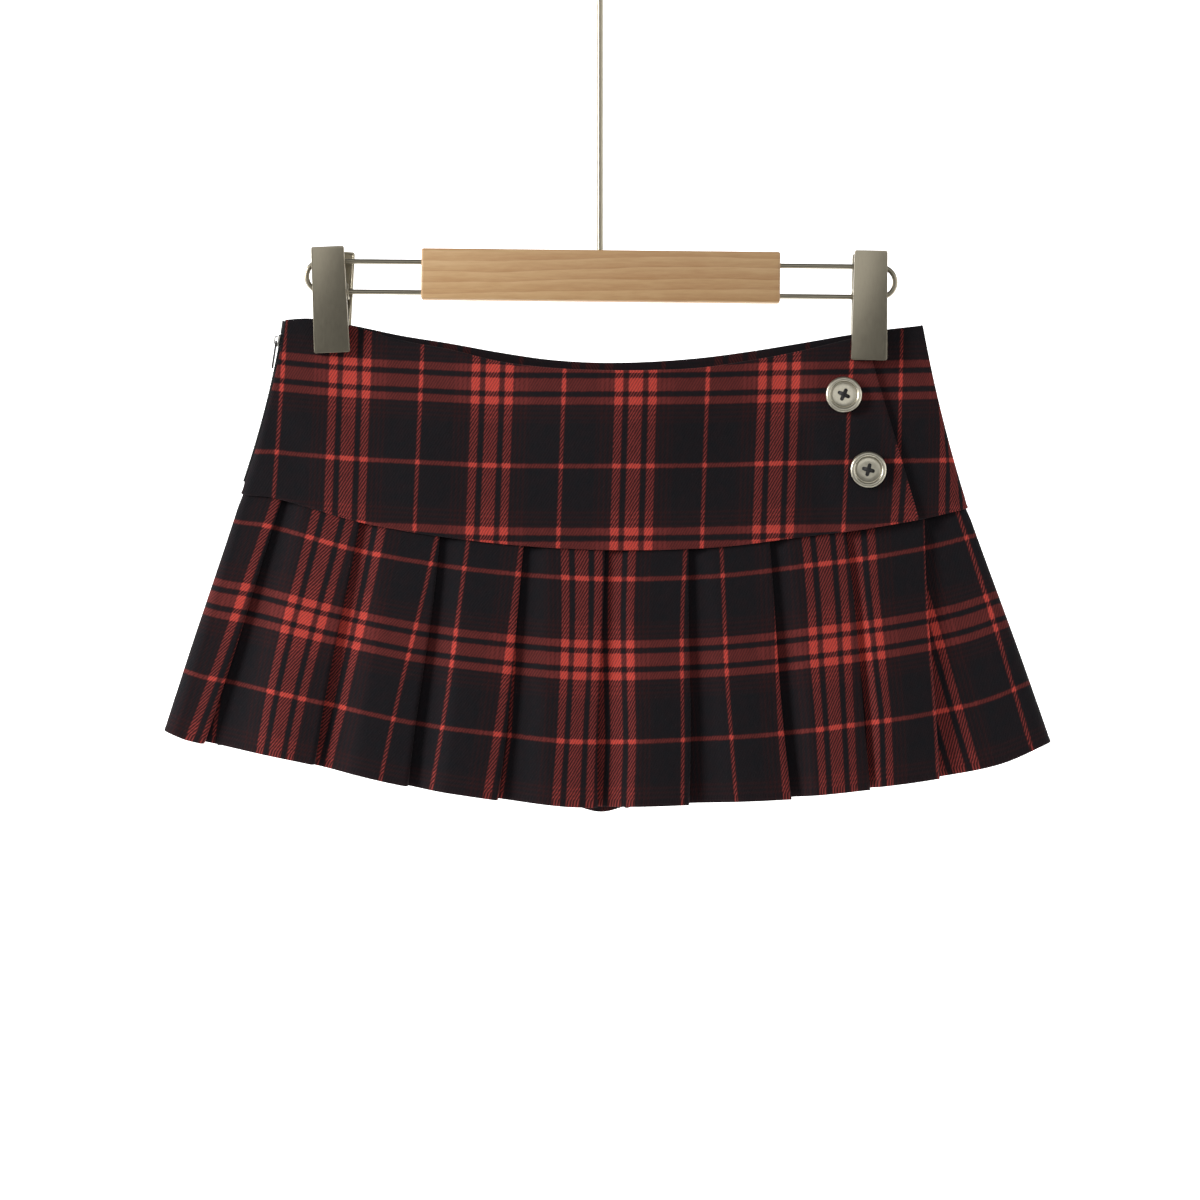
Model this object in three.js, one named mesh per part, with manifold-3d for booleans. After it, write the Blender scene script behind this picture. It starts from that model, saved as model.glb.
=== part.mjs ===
// A pleated mini skirt hung flat on a clip hanger: millimetres, +Z up, the skirt's front facing -Y.
// The origin is the inside top of the hanger's hook, where a rail carries it.
// The skirt is a hip yoke with a mock wrap and two buttons, over a flounce of eighteen knife pleats.
import * as THREE from "three";
import { mergeVertices } from "three/addons/utils/BufferGeometryUtils.js";
import Module from "manifold-3d";

const wasm = await Module();
wasm.setup();
const { lerp, smoothstep, degToRad } = THREE.MathUtils;

// Cloth and seams
const SEAM_GAP = 0.3; // two pieces that are sewn together, or lie on each other, stay this far apart
const YOKE_CLOTH = 1.5; // the yoke is two plies, fused
const FLOUNCE_CLOTH = 1.1; // the flounce is one ply of brushed flannel
const OVERLAP_LIFT = YOKE_CLOTH + SEAM_GAP; // the wrap's upper panel lies this far out

// Heights are drops below this level, the top of the wooden bar where the hanger hangs level
const LEVEL = -196;

// Waist edge of the yoke, left to right as seen from the front
const WAIST = [
  { x: -174.0, front: 38.3, back: 38.3 },
  { x: -158.4, front: 37.7, back: 37.7 },
  { x: -136.4, front: 41.8, back: 41.3 },
  { x: -110.0, front: 49.5, back: 46.8 },
  { x: -82.5, front: 54.8, back: 51.2 },
  { x: -55.0, front: 61.5, back: 56.1 },
  { x: -27.5, front: 65.0, back: 60.0 },
  { x: 0.0, front: 66.3, back: 61.6 },
  { x: 27.5, front: 66.3, back: 61.1 },
  { x: 55.0, front: 64.9, back: 59.1 },
  { x: 82.5, front: 60.8, back: 55.6 },
  { x: 110.0, front: 55.6, back: 51.2 },
  { x: 137.5, front: 49.0, back: 46.5 },
  { x: 158.4, front: 44.6, back: 43.5 },
  { x: 177.6, front: 41.3, back: 41.3 },
];

// Yoke: its side edges from the waist to the seam, the seam's drop and sag, and how far it bows out
const YOKE_LEFT = { waist: -174.0, seam: -197.4, bow: 2.4 };
const YOKE_RIGHT = { waist: 177.6, seam: 202.4, bow: -1.7 };
const SEAM = { left: 133.7, right: 141.6, sag: 27.5 };
const YOKE_CORNER = { waist: 1.65, seam: 5.2 }; // half the thickness at the side seams
const YOKE_BOW = {
  front: { waist: 6, seam: 8 },
  back: { waist: 4, seam: 6.5 },
};
const PINCH = { left: -137, right: 137.5, from: 0.2, to: 0.9 }; // held flat outside the clips' inner edges
const YOKE_ROWS = 8;

// Wrap: the upper panel's slanted edge, and how far the lower panel reaches under it
const WRAP_EDGE = { waist: 143.4, seam: 172.7 };
const WRAP_UNDER = 28;
const WRAP_RAMP = { from: 50, to: 32 }; // the upper panel rises over the lower one before the overlap

// Flounce: the middle of its top layer, from the seam to the hem
const FLOUNCE_LEFT = { seam: -196.4, hem: -238.2 };
const FLOUNCE_RIGHT = { seam: 201.4, hem: 246.9 };
const FLOUNCE_CORNER = { seam: 4.0, hem: 7.5 };
const FLOUNCE_BOW = {
  front: { seam: 8, hem: 16 },
  back: { seam: 6.5, hem: 14 },
};
const LAYER_GAP = { seam: 0.35, hem: 1.6 }; // between the three layers of a pleat
const PLEAT_DEPTH = 29; // at the seam, from the outer fold to the hidden one
const FLOUNCE_BANDS = 3;
const FOLD_STEPS = 3; // straight bits in the half circle of a fold

// Outer folds of the front pleats, where they leave the seam and where they reach the hem
const FRONT_FOLDS = [
  { seam: -175.1, hem: -217.4 },
  { seam: -131.9, hem: -153.9 },
  { seam: -88.1, hem: -105.2 },
  { seam: -42.2, hem: -56.1 },
  { seam: 2.2, hem: -1.1 },
  { seam: 48.1, hem: 49.6 },
  { seam: 92.5, hem: 104.1 },
  { seam: 134.1, hem: 147.2 },
  { seam: 177.6, hem: 186.9 },
];
const BACK_FOLDS = {
  count: 9,
  first: { seam: 180.4, hem: 239.0 },
  last: { seam: -172.0, hem: -211.0 },
};

// Hem edge, left to right as seen from the front
const HEM = [
  { x: -238.2, front: 268.2, back: 268.2 },
  { x: -217.4, front: 270.2, back: 270.0 },
  { x: -192.0, front: 275.4, back: 274.0 },
  { x: -153.9, front: 283.2, back: 281.0 },
  { x: -105.2, front: 294.2, back: 292.0 },
  { x: -56.1, front: 300.8, back: 299.5 },
  { x: -20.0, front: 304.8, back: 305.5 },
  { x: 10.0, front: 305.3, back: 310.8 },
  { x: 35.0, front: 304.3, back: 305.5 },
  { x: 104.1, front: 300.4, back: 298.0 },
  { x: 147.2, front: 295.4, back: 293.0 },
  { x: 186.9, front: 289.6, back: 287.0 },
  { x: 220.0, front: 282.2, back: 280.0 },
  { x: 246.9, front: 271.4, back: 271.4 },
];

// Buttons on the wrap's upper panel
const BUTTONS = [
  { name: "button_upper", x: 133.8, drop: 80.0, turn: 20 },
  { name: "button_lower", x: 146.9, drop: 121.3, turn: 32 },
];
const BUTTON_SEAT = 0.4; // over the cloth
const BUTTON_PROFILE = [
  { radius: 0, height: 0 },
  { radius: 8.6, height: 0 },
  { radius: 9.7, height: 0.7 },
  { radius: 10, height: 1.6 },
  { radius: 9.5, height: 2.6 },
  { radius: 8.5, height: 3 },
  { radius: 7.4, height: 2.8 },
  { radius: 6.6, height: 1.9 },
  { radius: 0, height: 1.8 },
];
const BUTTON_HOLE = { radius: 0.95, spacing: 3.2 };

// Zip: the slider sits on the left side seam, and its pull tab hangs from the slider's bridge
const ZIP = { drop: 50, lean: 11, standoff: SEAM_GAP };
const SLIDER = { thickness: 1, halfWidth: 2.2, halfHeight: 3.4 };
const BRIDGE = { width: 1.4, reach: 2.2, halfHeight: 2.2, wall: 0.65 };
const PULL = {
  width: 4.5,
  thickness: 0.8,
  length: 15.4,
  rung: 0.8,
  arm: 0.9,
  window: 3.6,
  lean: 2.5,
};

// Hanger: a wire hook, a wooden bar, a wire loop at each end, and two sprung clips
const HOOK = { wire: 3.3, inside: 20, swing: 60, end: 205 };
const BAR = {
  top: -196.4,
  tilt: 0.6,
  middle: 0.55,
  length: 197,
  height: 28,
  thickness: 12,
  chamfer: 1.2,
};
const SOCKET = { depth: 12, seated: 11.6, clearance: 0.3 };
const LOOP_WIRE = { diameter: 2.8, upper: 7.3, lower: 24 };
const LOOPS = [
  { name: "wire_left", side: -1, reach: 162.5 },
  { name: "wire_right", side: 1, reach: 163.9 },
];
const CLIP = {
  topWidth: 18,
  jawWidth: 19.6,
  depth: 4,
  wall: 1,
  corner: 1.2,
  barrel: 4.5,
  barrelBore: 1.7,
  barrelLength: 15.2,
};
// Each clip plate: where it crosses the lower wire, its reach above and below it, its lean and its jaw
const CLIP_PLATES = [
  { name: "clip_left_front", x: -148.1, above: 24.4, below: 33.8, lean: -2.2, jaw: 1.65, front: true },
  { name: "clip_left_back", x: -145.4, above: 22.9, below: 33.0, lean: 3.5, jaw: 1.65, front: false },
  { name: "clip_right_front", x: 148.4, above: 25.1, below: 34.9, lean: 0.95, jaw: 3.45, front: true },
  { name: "clip_right_back", x: 148.4, above: 24.4, below: 34.0, lean: 0.5, jaw: 1.65, front: false },
];
const CLIP_BARRELS = [
  { name: "clip_left_spring", x: -144.7 },
  { name: "clip_right_spring", x: 146.1 },
];

const material = (color, roughness, metalness) =>
  new THREE.MeshStandardMaterial({ color, roughness, metalness });
const PLAID = material("#4a1c20", 0.9, 0);
const NICKEL = material("#a9a49c", 0.35, 1);
const STEEL = material("#8b857b", 0.4, 1);
const BLACK_ENAMEL = material("#151416", 0.5, 0.2);
const BEECH = material("#c8a273", 0.55, 0);

// A smooth curve through the rows of a table, with the slope at each row taken from its neighbours
function curveThrough(rows, value) {
  const slopeAt = (k) => {
    const before = rows[Math.max(k - 1, 0)];
    const after = rows[Math.min(k + 1, rows.length - 1)];
    return (after[value] - before[value]) / (after.x - before.x);
  };
  return (x) => {
    let k = 0;
    while (k < rows.length - 2 && x > rows[k + 1].x) k++;
    const width = rows[k + 1].x - rows[k].x;
    const t = THREE.MathUtils.clamp((x - rows[k].x) / width, 0, 1);
    const fromStart = (1 + 2 * t) * (1 - t) ** 2;
    return (
      rows[k][value] * fromStart +
      rows[k + 1][value] * (1 - fromStart) +
      width * slopeAt(k) * t * (1 - t) ** 2 -
      width * slopeAt(k + 1) * t ** 2 * (1 - t)
    );
  };
}
const waistDrop = { front: curveThrough(WAIST, "front"), back: curveThrough(WAIST, "back") };
const hemDrop = { front: curveThrough(HEM, "front"), back: curveThrough(HEM, "back") };
const seamX = (share) => lerp(YOKE_LEFT.seam, YOKE_RIGHT.seam, share);
function seamDrop(x) {
  const share = (x - YOKE_LEFT.seam) / (YOKE_RIGHT.seam - YOKE_LEFT.seam);
  return lerp(SEAM.left, SEAM.right, share) + SEAM.sag * 4 * share * (1 - share);
}
const outward = { front: -1, back: 1 };

// A wall between two grids of points, closed at its four rims. Rows run down, and columns run
// left to right as seen from outside.
function wallGeometry(outer, inner) {
  const rows = outer.length;
  const columns = outer[0].length;
  const positions = [...outer.flat(), ...inner.flat()].flatMap((p) => p.toArray());
  const out = (r, c) => r * columns + c;
  const into = (r, c) => (rows + r) * columns + c;
  const triangles = [];
  const quad = (a, b, c, d) => triangles.push(a, b, c, a, c, d);
  for (let r = 0; r < rows - 1; r++) {
    for (let c = 0; c < columns - 1; c++) {
      quad(out(r, c), out(r + 1, c), out(r + 1, c + 1), out(r, c + 1));
      quad(into(r, c), into(r, c + 1), into(r + 1, c + 1), into(r + 1, c));
    }
    const last = columns - 1;
    quad(out(r, 0), into(r, 0), into(r + 1, 0), out(r + 1, 0));
    quad(out(r, last), out(r + 1, last), into(r + 1, last), into(r, last));
  }
  for (let c = 0; c < columns - 1; c++) {
    const last = rows - 1;
    quad(out(0, c), out(0, c + 1), into(0, c + 1), into(0, c));
    quad(out(last, c), into(last, c), into(last, c + 1), out(last, c + 1));
  }
  const geometry = new THREE.BufferGeometry();
  geometry.setAttribute("position", new THREE.Float32BufferAttribute(positions, 3));
  geometry.setIndex(triangles);
  geometry.computeVertexNormals();
  return geometry;
}

// Joins and cuts are made on solids, and the result goes back to a geometry
function solidOf(geometry) {
  const plain = geometry.clone();
  plain.deleteAttribute("normal");
  plain.deleteAttribute("uv");
  const merged = mergeVertices(plain, 1e-4);
  return new wasm.Manifold(
    new wasm.Mesh({
      numProp: 3,
      vertProperties: merged.attributes.position.array,
      triVerts: new Uint32Array(merged.index.array),
    }),
  );
}
function geometryOf(solid) {
  const { vertProperties, triVerts } = solid.getMesh();
  const geometry = new THREE.BufferGeometry();
  geometry.setAttribute("position", new THREE.BufferAttribute(vertProperties, 3));
  geometry.setIndex(new THREE.BufferAttribute(triVerts, 1));
  geometry.computeVertexNormals();
  return geometry;
}
function named(name, geometry, finish) {
  const mesh = new THREE.Mesh(geometry, finish);
  mesh.name = name;
  return mesh;
}

// Yoke. a is the share of the way down from the waist to the seam.
const yokeLeft = (a) => lerp(YOKE_LEFT.waist, YOKE_LEFT.seam, a) + YOKE_LEFT.bow * 4 * a * (1 - a);
const yokeRight = (a) => lerp(YOKE_RIGHT.waist, YOKE_RIGHT.seam, a) + YOKE_RIGHT.bow * 4 * a * (1 - a);
const yokeCorner = (a) => lerp(YOKE_CORNER.waist, YOKE_CORNER.seam, smoothstep(a, PINCH.from, 1));
const wrapEdge = (a) => lerp(WRAP_EDGE.waist, WRAP_EDGE.seam, a);

// How far the yoke's outer face is from the middle plane: flat where the clips pinch it, bowed lower down
function yokeDepth(side, x, a) {
  const corner = yokeCorner(a);
  const left = yokeLeft(a) + corner;
  const right = yokeRight(a) - corner;
  const across = THREE.MathUtils.clamp((2 * x - left - right) / (right - left), -1, 1);
  const span = THREE.MathUtils.clamp((x - PINCH.left) / (PINCH.right - PINCH.left), 0, 1);
  const pinched = Math.sin(Math.PI * span) ** 2;
  const shape = lerp(pinched, 1 - across ** 2, smoothstep(a, PINCH.from, PINCH.to));
  return corner + lerp(YOKE_BOW[side].waist, YOKE_BOW[side].seam, a) * shape;
}
function yokeHeight(side, x, a) {
  const share = (x - yokeLeft(a)) / (yokeRight(a) - yokeLeft(a));
  const atWaist = waistDrop[side](lerp(YOKE_LEFT.waist, YOKE_RIGHT.waist, share));
  return LEVEL - lerp(atWaist, seamDrop(seamX(share)), a);
}

// One column of a yoke panel: x, and how far the cloth has turned from the side seam (90 is facing out)
const cornerTurns = [0, 30, 60];
const leftCorner = cornerTurns.map((turn) => ({ x: yokeLeft, end: -1, turn }));
const rightCorner = cornerTurns.map((turn) => ({ x: yokeRight, end: 1, turn })).reverse();
function columnsBetween(from, to, count) {
  return Array.from({ length: count + 1 }, (_, k) => ({
    x: (a) => lerp(from(a), to(a), k / count),
    end: 0,
    turn: 90,
  }));
}
function yokePanel(side, columns, lift) {
  const outer = [];
  const inner = [];
  for (let r = 0; r <= YOKE_ROWS; r++) {
    const a = r / YOKE_ROWS;
    outer.push([]);
    inner.push([]);
    for (const column of columns) {
      const turn = degToRad(column.turn);
      const x = column.x(a) - column.end * yokeCorner(a) * (1 - Math.cos(turn));
      const depth = yokeDepth(side, x, a) + lift(x, a);
      const y = outward[side] * (SEAM_GAP / 2 + (depth - SEAM_GAP / 2) * Math.sin(turn));
      const z = yokeHeight(side, x, a);
      const inX = x - column.end * YOKE_CLOTH * Math.cos(turn);
      const inY = y - outward[side] * YOKE_CLOTH * Math.sin(turn);
      outer[r].push(new THREE.Vector3(x, y, z));
      inner[r].push(new THREE.Vector3(inX, inY, z));
    }
  }
  return wallGeometry(outer, inner);
}
const flat = () => 0;
const wrapLift = (x, a) =>
  OVERLAP_LIFT * smoothstep(x, wrapEdge(a) - WRAP_RAMP.from, wrapEdge(a) - WRAP_RAMP.to);
const faceLeft = (a) => yokeLeft(a) + yokeCorner(a);
const faceRight = (a) => yokeRight(a) - yokeCorner(a);
const besideWrap = (distance) => (a) => wrapEdge(a) - distance;

function yokePieces() {
  const upper = [
    ...leftCorner,
    ...columnsBetween(faceLeft, besideWrap(WRAP_RAMP.from), 14),
    ...columnsBetween(besideWrap(WRAP_RAMP.from), besideWrap(WRAP_RAMP.to), 4).slice(1),
    ...columnsBetween(besideWrap(WRAP_RAMP.to), wrapEdge, 3).slice(1),
  ];
  const lower = [...columnsBetween(besideWrap(WRAP_UNDER), faceRight, 6), ...rightCorner];
  const back = [...rightCorner].reverse();
  back.push(...columnsBetween(faceRight, faceLeft, 20), ...[...leftCorner].reverse());
  return [
    named("front_yoke", yokePanel("front", upper, wrapLift), PLAID),
    named("side_front_yoke", yokePanel("front", lower, flat), PLAID),
    named("back_yoke", yokePanel("back", back, flat), PLAID),
  ];
}

// Flounce. b is the share of the way down from the seam to the hem, and s runs round the skirt in
// millimetres along the middle of its top layer: from the left side across the front, then the back.
const MM_PER_STEP = 8;
const TURN_PER_STEP = degToRad(15);
function flounceLoop(b) {
  const left = lerp(FLOUNCE_LEFT.seam, FLOUNCE_LEFT.hem, b);
  const right = lerp(FLOUNCE_RIGHT.seam, FLOUNCE_RIGHT.hem, b);
  const corner = lerp(FLOUNCE_CORNER.seam, FLOUNCE_CORNER.hem, b);
  const points = [];
  const addCorner = (centreX, from, to) => {
    for (let k = 0; k < 24; k++) {
      const angle = degToRad(lerp(from, to, k / 24));
      points.push(new THREE.Vector2(centreX + corner * Math.cos(angle), corner * Math.sin(angle)));
    }
  };
  const addFace = (side, from, to) => {
    const bow = lerp(FLOUNCE_BOW[side].seam, FLOUNCE_BOW[side].hem, b);
    for (let k = 0; k < 160; k++) {
      const across = lerp(-1, 1, k / 160);
      const y = outward[side] * (corner + bow * (1 - across ** 2));
      points.push(new THREE.Vector2(lerp(from, to, k / 160), y));
    }
  };
  addCorner(left + corner, 180, 270);
  addFace("front", left + corner, right - corner);
  addCorner(right - corner, 270, 360);
  addCorner(right - corner, 0, 90);
  addFace("back", right - corner, left + corner);
  addCorner(left + corner, 90, 180);

  const count = points.length;
  const point = (k) => points[((k % count) + count) % count];
  const lengths = [0];
  const steps = [0];
  for (let k = 0; k < count; k++) {
    const here = point(k + 1).clone().sub(point(k));
    const turned = Math.abs(here.clone().cross(point(k).clone().sub(point(k - 1))));
    const turn = Math.asin(Math.min(1, turned / (here.length() * point(k).distanceTo(point(k - 1)))));
    lengths.push(lengths[k] + here.length());
    steps.push(steps[k] + here.length() / MM_PER_STEP + turn / TURN_PER_STEP);
  }
  const total = lengths[count];
  const stepTotal = steps[count];

  // The share of the way through a rising list, and the value of another list at that place
  const lookUp = (keys, values, key, keyTotal, valueTotal) => {
    const laps = Math.floor(key / keyTotal);
    const rest = key - laps * keyTotal;
    let k = 0;
    while (k < count - 1 && keys[k + 1] <= rest) k++;
    const share = (rest - keys[k]) / (keys[k + 1] - keys[k]);
    return laps * valueTotal + lerp(values[k], values[k + 1], share);
  };
  const indices = Array.from({ length: count + 1 }, (_, k) => k);

  // The place at s, moved inward by depth, and the direction of travel there
  const direction = (k) => point(k + 2).clone().sub(point(k - 2)).normalize();
  const at = (s, depth) => {
    const place = lookUp(lengths, indices, s, total, count);
    const k = Math.floor(place);
    const along = direction(k).lerp(direction(k + 1), place - k).normalize();
    const middle = point(k).clone().lerp(point(k + 1), place - k);
    const spot = new THREE.Vector2(middle.x - along.y * depth, middle.y + along.x * depth);
    return { spot, along, middle };
  };
  const sideOf = (middle) => (middle.y < 0 ? "front" : "back");
  const heightOf = (middle) => {
    const share = THREE.MathUtils.clamp((middle.x - left) / (right - left), 0, 1);
    const topX = lerp(FLOUNCE_LEFT.seam, FLOUNCE_RIGHT.seam, share);
    const hemX = lerp(FLOUNCE_LEFT.hem, FLOUNCE_RIGHT.hem, share);
    return LEVEL - lerp(seamDrop(topX) + SEAM_GAP, hemDrop[sideOf(middle)](hemX), b);
  };
  // s where the loop passes x on one side
  const sAt = (side, x) => {
    const hit = indices.find((k) => {
      const here = point(k);
      const next = point(k + 1);
      return here.y * outward[side] > 0 && (here.x - x) * (next.x - x) <= 0;
    });
    return lerp(lengths[hit], lengths[hit + 1], (x - point(hit).x) / (point(hit + 1).x - point(hit).x));
  };
  // s values from one place to another, close together where the loop turns
  const spread = (from, to, segments) => {
    const start = lookUp(lengths, steps, from, total, stepTotal);
    const end = lookUp(lengths, steps, to, total, stepTotal);
    return Array.from({ length: segments + 1 }, (_, k) =>
      lookUp(steps, lengths, lerp(start, end, k / segments), stepTotal, total),
    );
  };
  return { total, at, heightOf, sAt, spread };
}

// The outer folds' s at one height, in order round the skirt
function foldPlaces(loop, b) {
  const front = FRONT_FOLDS.map((fold) => loop.sAt("front", lerp(fold.seam, fold.hem, b)));
  const back = Array.from({ length: BACK_FOLDS.count }, (_, k) => {
    const share = k / (BACK_FOLDS.count - 1);
    const atSeam = lerp(BACK_FOLDS.first.seam, BACK_FOLDS.last.seam, share);
    const atHem = lerp(BACK_FOLDS.first.hem, BACK_FOLDS.last.hem, share);
    return loop.sAt("back", lerp(atSeam, atHem, b));
  });
  return [...front, ...back];
}
const seamLoop = flounceLoop(0);
const seamFolds = foldPlaces(seamLoop, 0);
const pleatCount = seamFolds.length;

// s of an outer fold, counted on past the last one and back before the first one
function foldAt(folds, total, index) {
  const laps = Math.floor(index / pleatCount);
  return folds[index - laps * pleatCount] + laps * total;
}

// How many straight bits each stretch of a pleat has, more where its layers go round a side
const PLAIN_STEPS = { rise: 4, top: 2, middle: 2, bottom: 2 };
const CORNER_STEPS = { rise: 8, top: 15, middle: 15, bottom: 15 };
const cornerPleats = [0, FRONT_FOLDS.length];
const REST = 1; // the cloth lies flat this far past the fold before, then rises over its own folds
const NODE_CUT = 3; // the two strips meet this far under a fold, in the bottom layer

// The middle line of a strip that covers some pleats, at one height
function stripLine(firstPleat, lastPleat, b) {
  const loop = b === 0 ? seamLoop : flounceLoop(b);
  const folds = foldPlaces(loop, b);
  const radius = (FLOUNCE_CLOTH + lerp(LAYER_GAP.seam, LAYER_GAP.hem, b)) / 2;
  const line = [];
  const add = (s, depth) => {
    const { spot, middle } = loop.at(s, depth);
    line.push(new THREE.Vector3(spot.x, spot.y, loop.heightOf(middle)));
  };
  // A half circle round a point of the loop, from its outer side to its inner side
  const addFold = (s, depth, ahead) => {
    const { spot, along, middle } = loop.at(s, depth);
    for (let k = 1; k < FOLD_STEPS; k++) {
      const angle = (Math.PI * k) / FOLD_STEPS;
      const forward = ahead * radius * Math.sin(angle);
      const outer = radius * Math.cos(angle);
      const x = spot.x + along.x * forward + along.y * outer;
      const y = spot.y + along.y * forward - along.x * outer;
      line.push(new THREE.Vector3(x, y, loop.heightOf(middle)));
    }
  };
  add(foldAt(folds, loop.total, firstPleat - 1) - NODE_CUT, 4 * radius);
  for (let pleat = firstPleat; pleat <= lastPleat; pleat++) {
    const steps = cornerPleats.includes(pleat) ? CORNER_STEPS : PLAIN_STEPS;
    const before = foldAt(folds, loop.total, pleat - 1);
    const fold = foldAt(folds, loop.total, pleat);
    const widthAtSeam =
      foldAt(seamFolds, seamLoop.total, pleat) - foldAt(seamFolds, seamLoop.total, pleat - 1);
    const depth = PLEAT_DEPTH + (widthAtSeam - (fold - before)) / 2; // the cloth in a pleat stays the same
    const hidden = fold - depth;
    for (const s of loop.spread(before + REST, hidden, steps.rise)) {
      add(s, 4 * radius * (1 - smoothstep(s, before + REST, hidden)));
    }
    for (const s of loop.spread(hidden, fold - radius, steps.top).slice(1)) add(s, 0);
    addFold(fold - radius, radius, 1);
    for (const s of loop.spread(fold - radius, hidden + radius, steps.middle)) add(s, 2 * radius);
    addFold(hidden + radius, 3 * radius, -1);
    const end = pleat === lastPleat ? fold - NODE_CUT - SEAM_GAP : fold + REST;
    const bottom = loop.spread(hidden + radius, end, steps.bottom);
    if (pleat < lastPleat) bottom.pop();
    for (const s of bottom) add(s, 4 * radius);
  }
  return line;
}

// The line's own wall: half the cloth to each side, square to it, mitred at the bends
function wallOf(line) {
  const half = FLOUNCE_CLOTH / 2;
  const flatNormal = (p, q) => new THREE.Vector2(q.y - p.y, p.x - q.x).normalize();
  const outer = [];
  const inner = [];
  line.forEach((p, k) => {
    const before = flatNormal(line[Math.max(k - 1, 0)], line[Math.max(k, 1)]);
    const after = flatNormal(line[Math.min(k, line.length - 2)], line[Math.min(k + 1, line.length - 1)]);
    const normal = before.clone().add(after).normalize();
    normal.multiplyScalar(half / normal.dot(before));
    outer.push(new THREE.Vector3(p.x + normal.x, p.y + normal.y, p.z));
    inner.push(new THREE.Vector3(p.x - normal.x, p.y - normal.y, p.z));
  });
  return { outer, inner };
}
function flouncePanel(firstPleat, lastPleat) {
  const walls = Array.from({ length: FLOUNCE_BANDS + 1 }, (_, r) =>
    wallOf(stripLine(firstPleat, lastPleat, r / FLOUNCE_BANDS)),
  );
  return wallGeometry(
    walls.map((wall) => wall.outer),
    walls.map((wall) => wall.inner),
  );
}
function flouncePieces() {
  const frontCount = FRONT_FOLDS.length;
  return [
    named("front_flounce", flouncePanel(0, frontCount - 1), PLAID),
    named("back_flounce", flouncePanel(frontCount, pleatCount - 1), PLAID),
  ];
}

// Button: a turned metal disc with a rolled rim, a sunk middle and four holes, sewn flat on the cloth
function buttonPiece({ name, x, drop, turn }) {
  const profile = BUTTON_PROFILE.map(({ radius, height }) => new THREE.Vector2(radius, height));
  let body = solidOf(new THREE.LatheGeometry(profile, 32));
  const half = BUTTON_HOLE.spacing / 2;
  for (const [across, up] of [[-half, -half], [half, -half], [half, half], [-half, half]]) {
    const drill = new THREE.CylinderGeometry(BUTTON_HOLE.radius, BUTTON_HOLE.radius, 8, 8);
    body = body.subtract(solidOf(drill.translate(across, 1, up)));
  }
  const button = named(name, geometryOf(body), NICKEL);

  // Its seat is the panel's face at x, square to the cloth there
  const a = (drop - waistDrop.front(x)) / (seamDrop(x) - waistDrop.front(x));
  const face = (dx, da) =>
    new THREE.Vector3(
      x + dx,
      -yokeDepth("front", x + dx, a + da) - wrapLift(x + dx, a + da),
      yokeHeight("front", x + dx, a + da),
    );
  const across = face(2, 0).sub(face(-2, 0));
  const down = face(0, 0.02).sub(face(0, -0.02));
  const normal = down.cross(across).normalize();
  button.quaternion.setFromUnitVectors(new THREE.Vector3(0, 1, 0), normal);
  button.rotateY(degToRad(turn));
  button.position.set(x, face(0, 0).y, LEVEL - drop).addScaledVector(normal, BUTTON_SEAT);
  return button;
}

// Zip: x is out from the side seam (negative), and z runs down the seam
function roundedPlate(width, height, corner, centreY) {
  const shape = new THREE.Shape();
  const right = width / 2;
  const top = centreY + height / 2;
  const bottom = centreY - height / 2;
  shape.moveTo(-right + corner, bottom);
  shape.lineTo(right - corner, bottom);
  shape.absarc(right - corner, bottom + corner, corner, -Math.PI / 2, 0, false);
  shape.absarc(right - corner, top - corner, corner, 0, Math.PI / 2, false);
  shape.absarc(-right + corner, top - corner, corner, Math.PI / 2, Math.PI, false);
  shape.absarc(-right + corner, bottom + corner, corner, Math.PI, 1.5 * Math.PI, false);
  return shape;
}
function windowOf(shape, left, right, bottom, top) {
  const hole = new THREE.Path();
  hole.moveTo(left, bottom);
  hole.lineTo(left, top);
  hole.lineTo(right, top);
  hole.lineTo(right, bottom);
  hole.closePath();
  shape.holes.push(hole);
}
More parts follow.
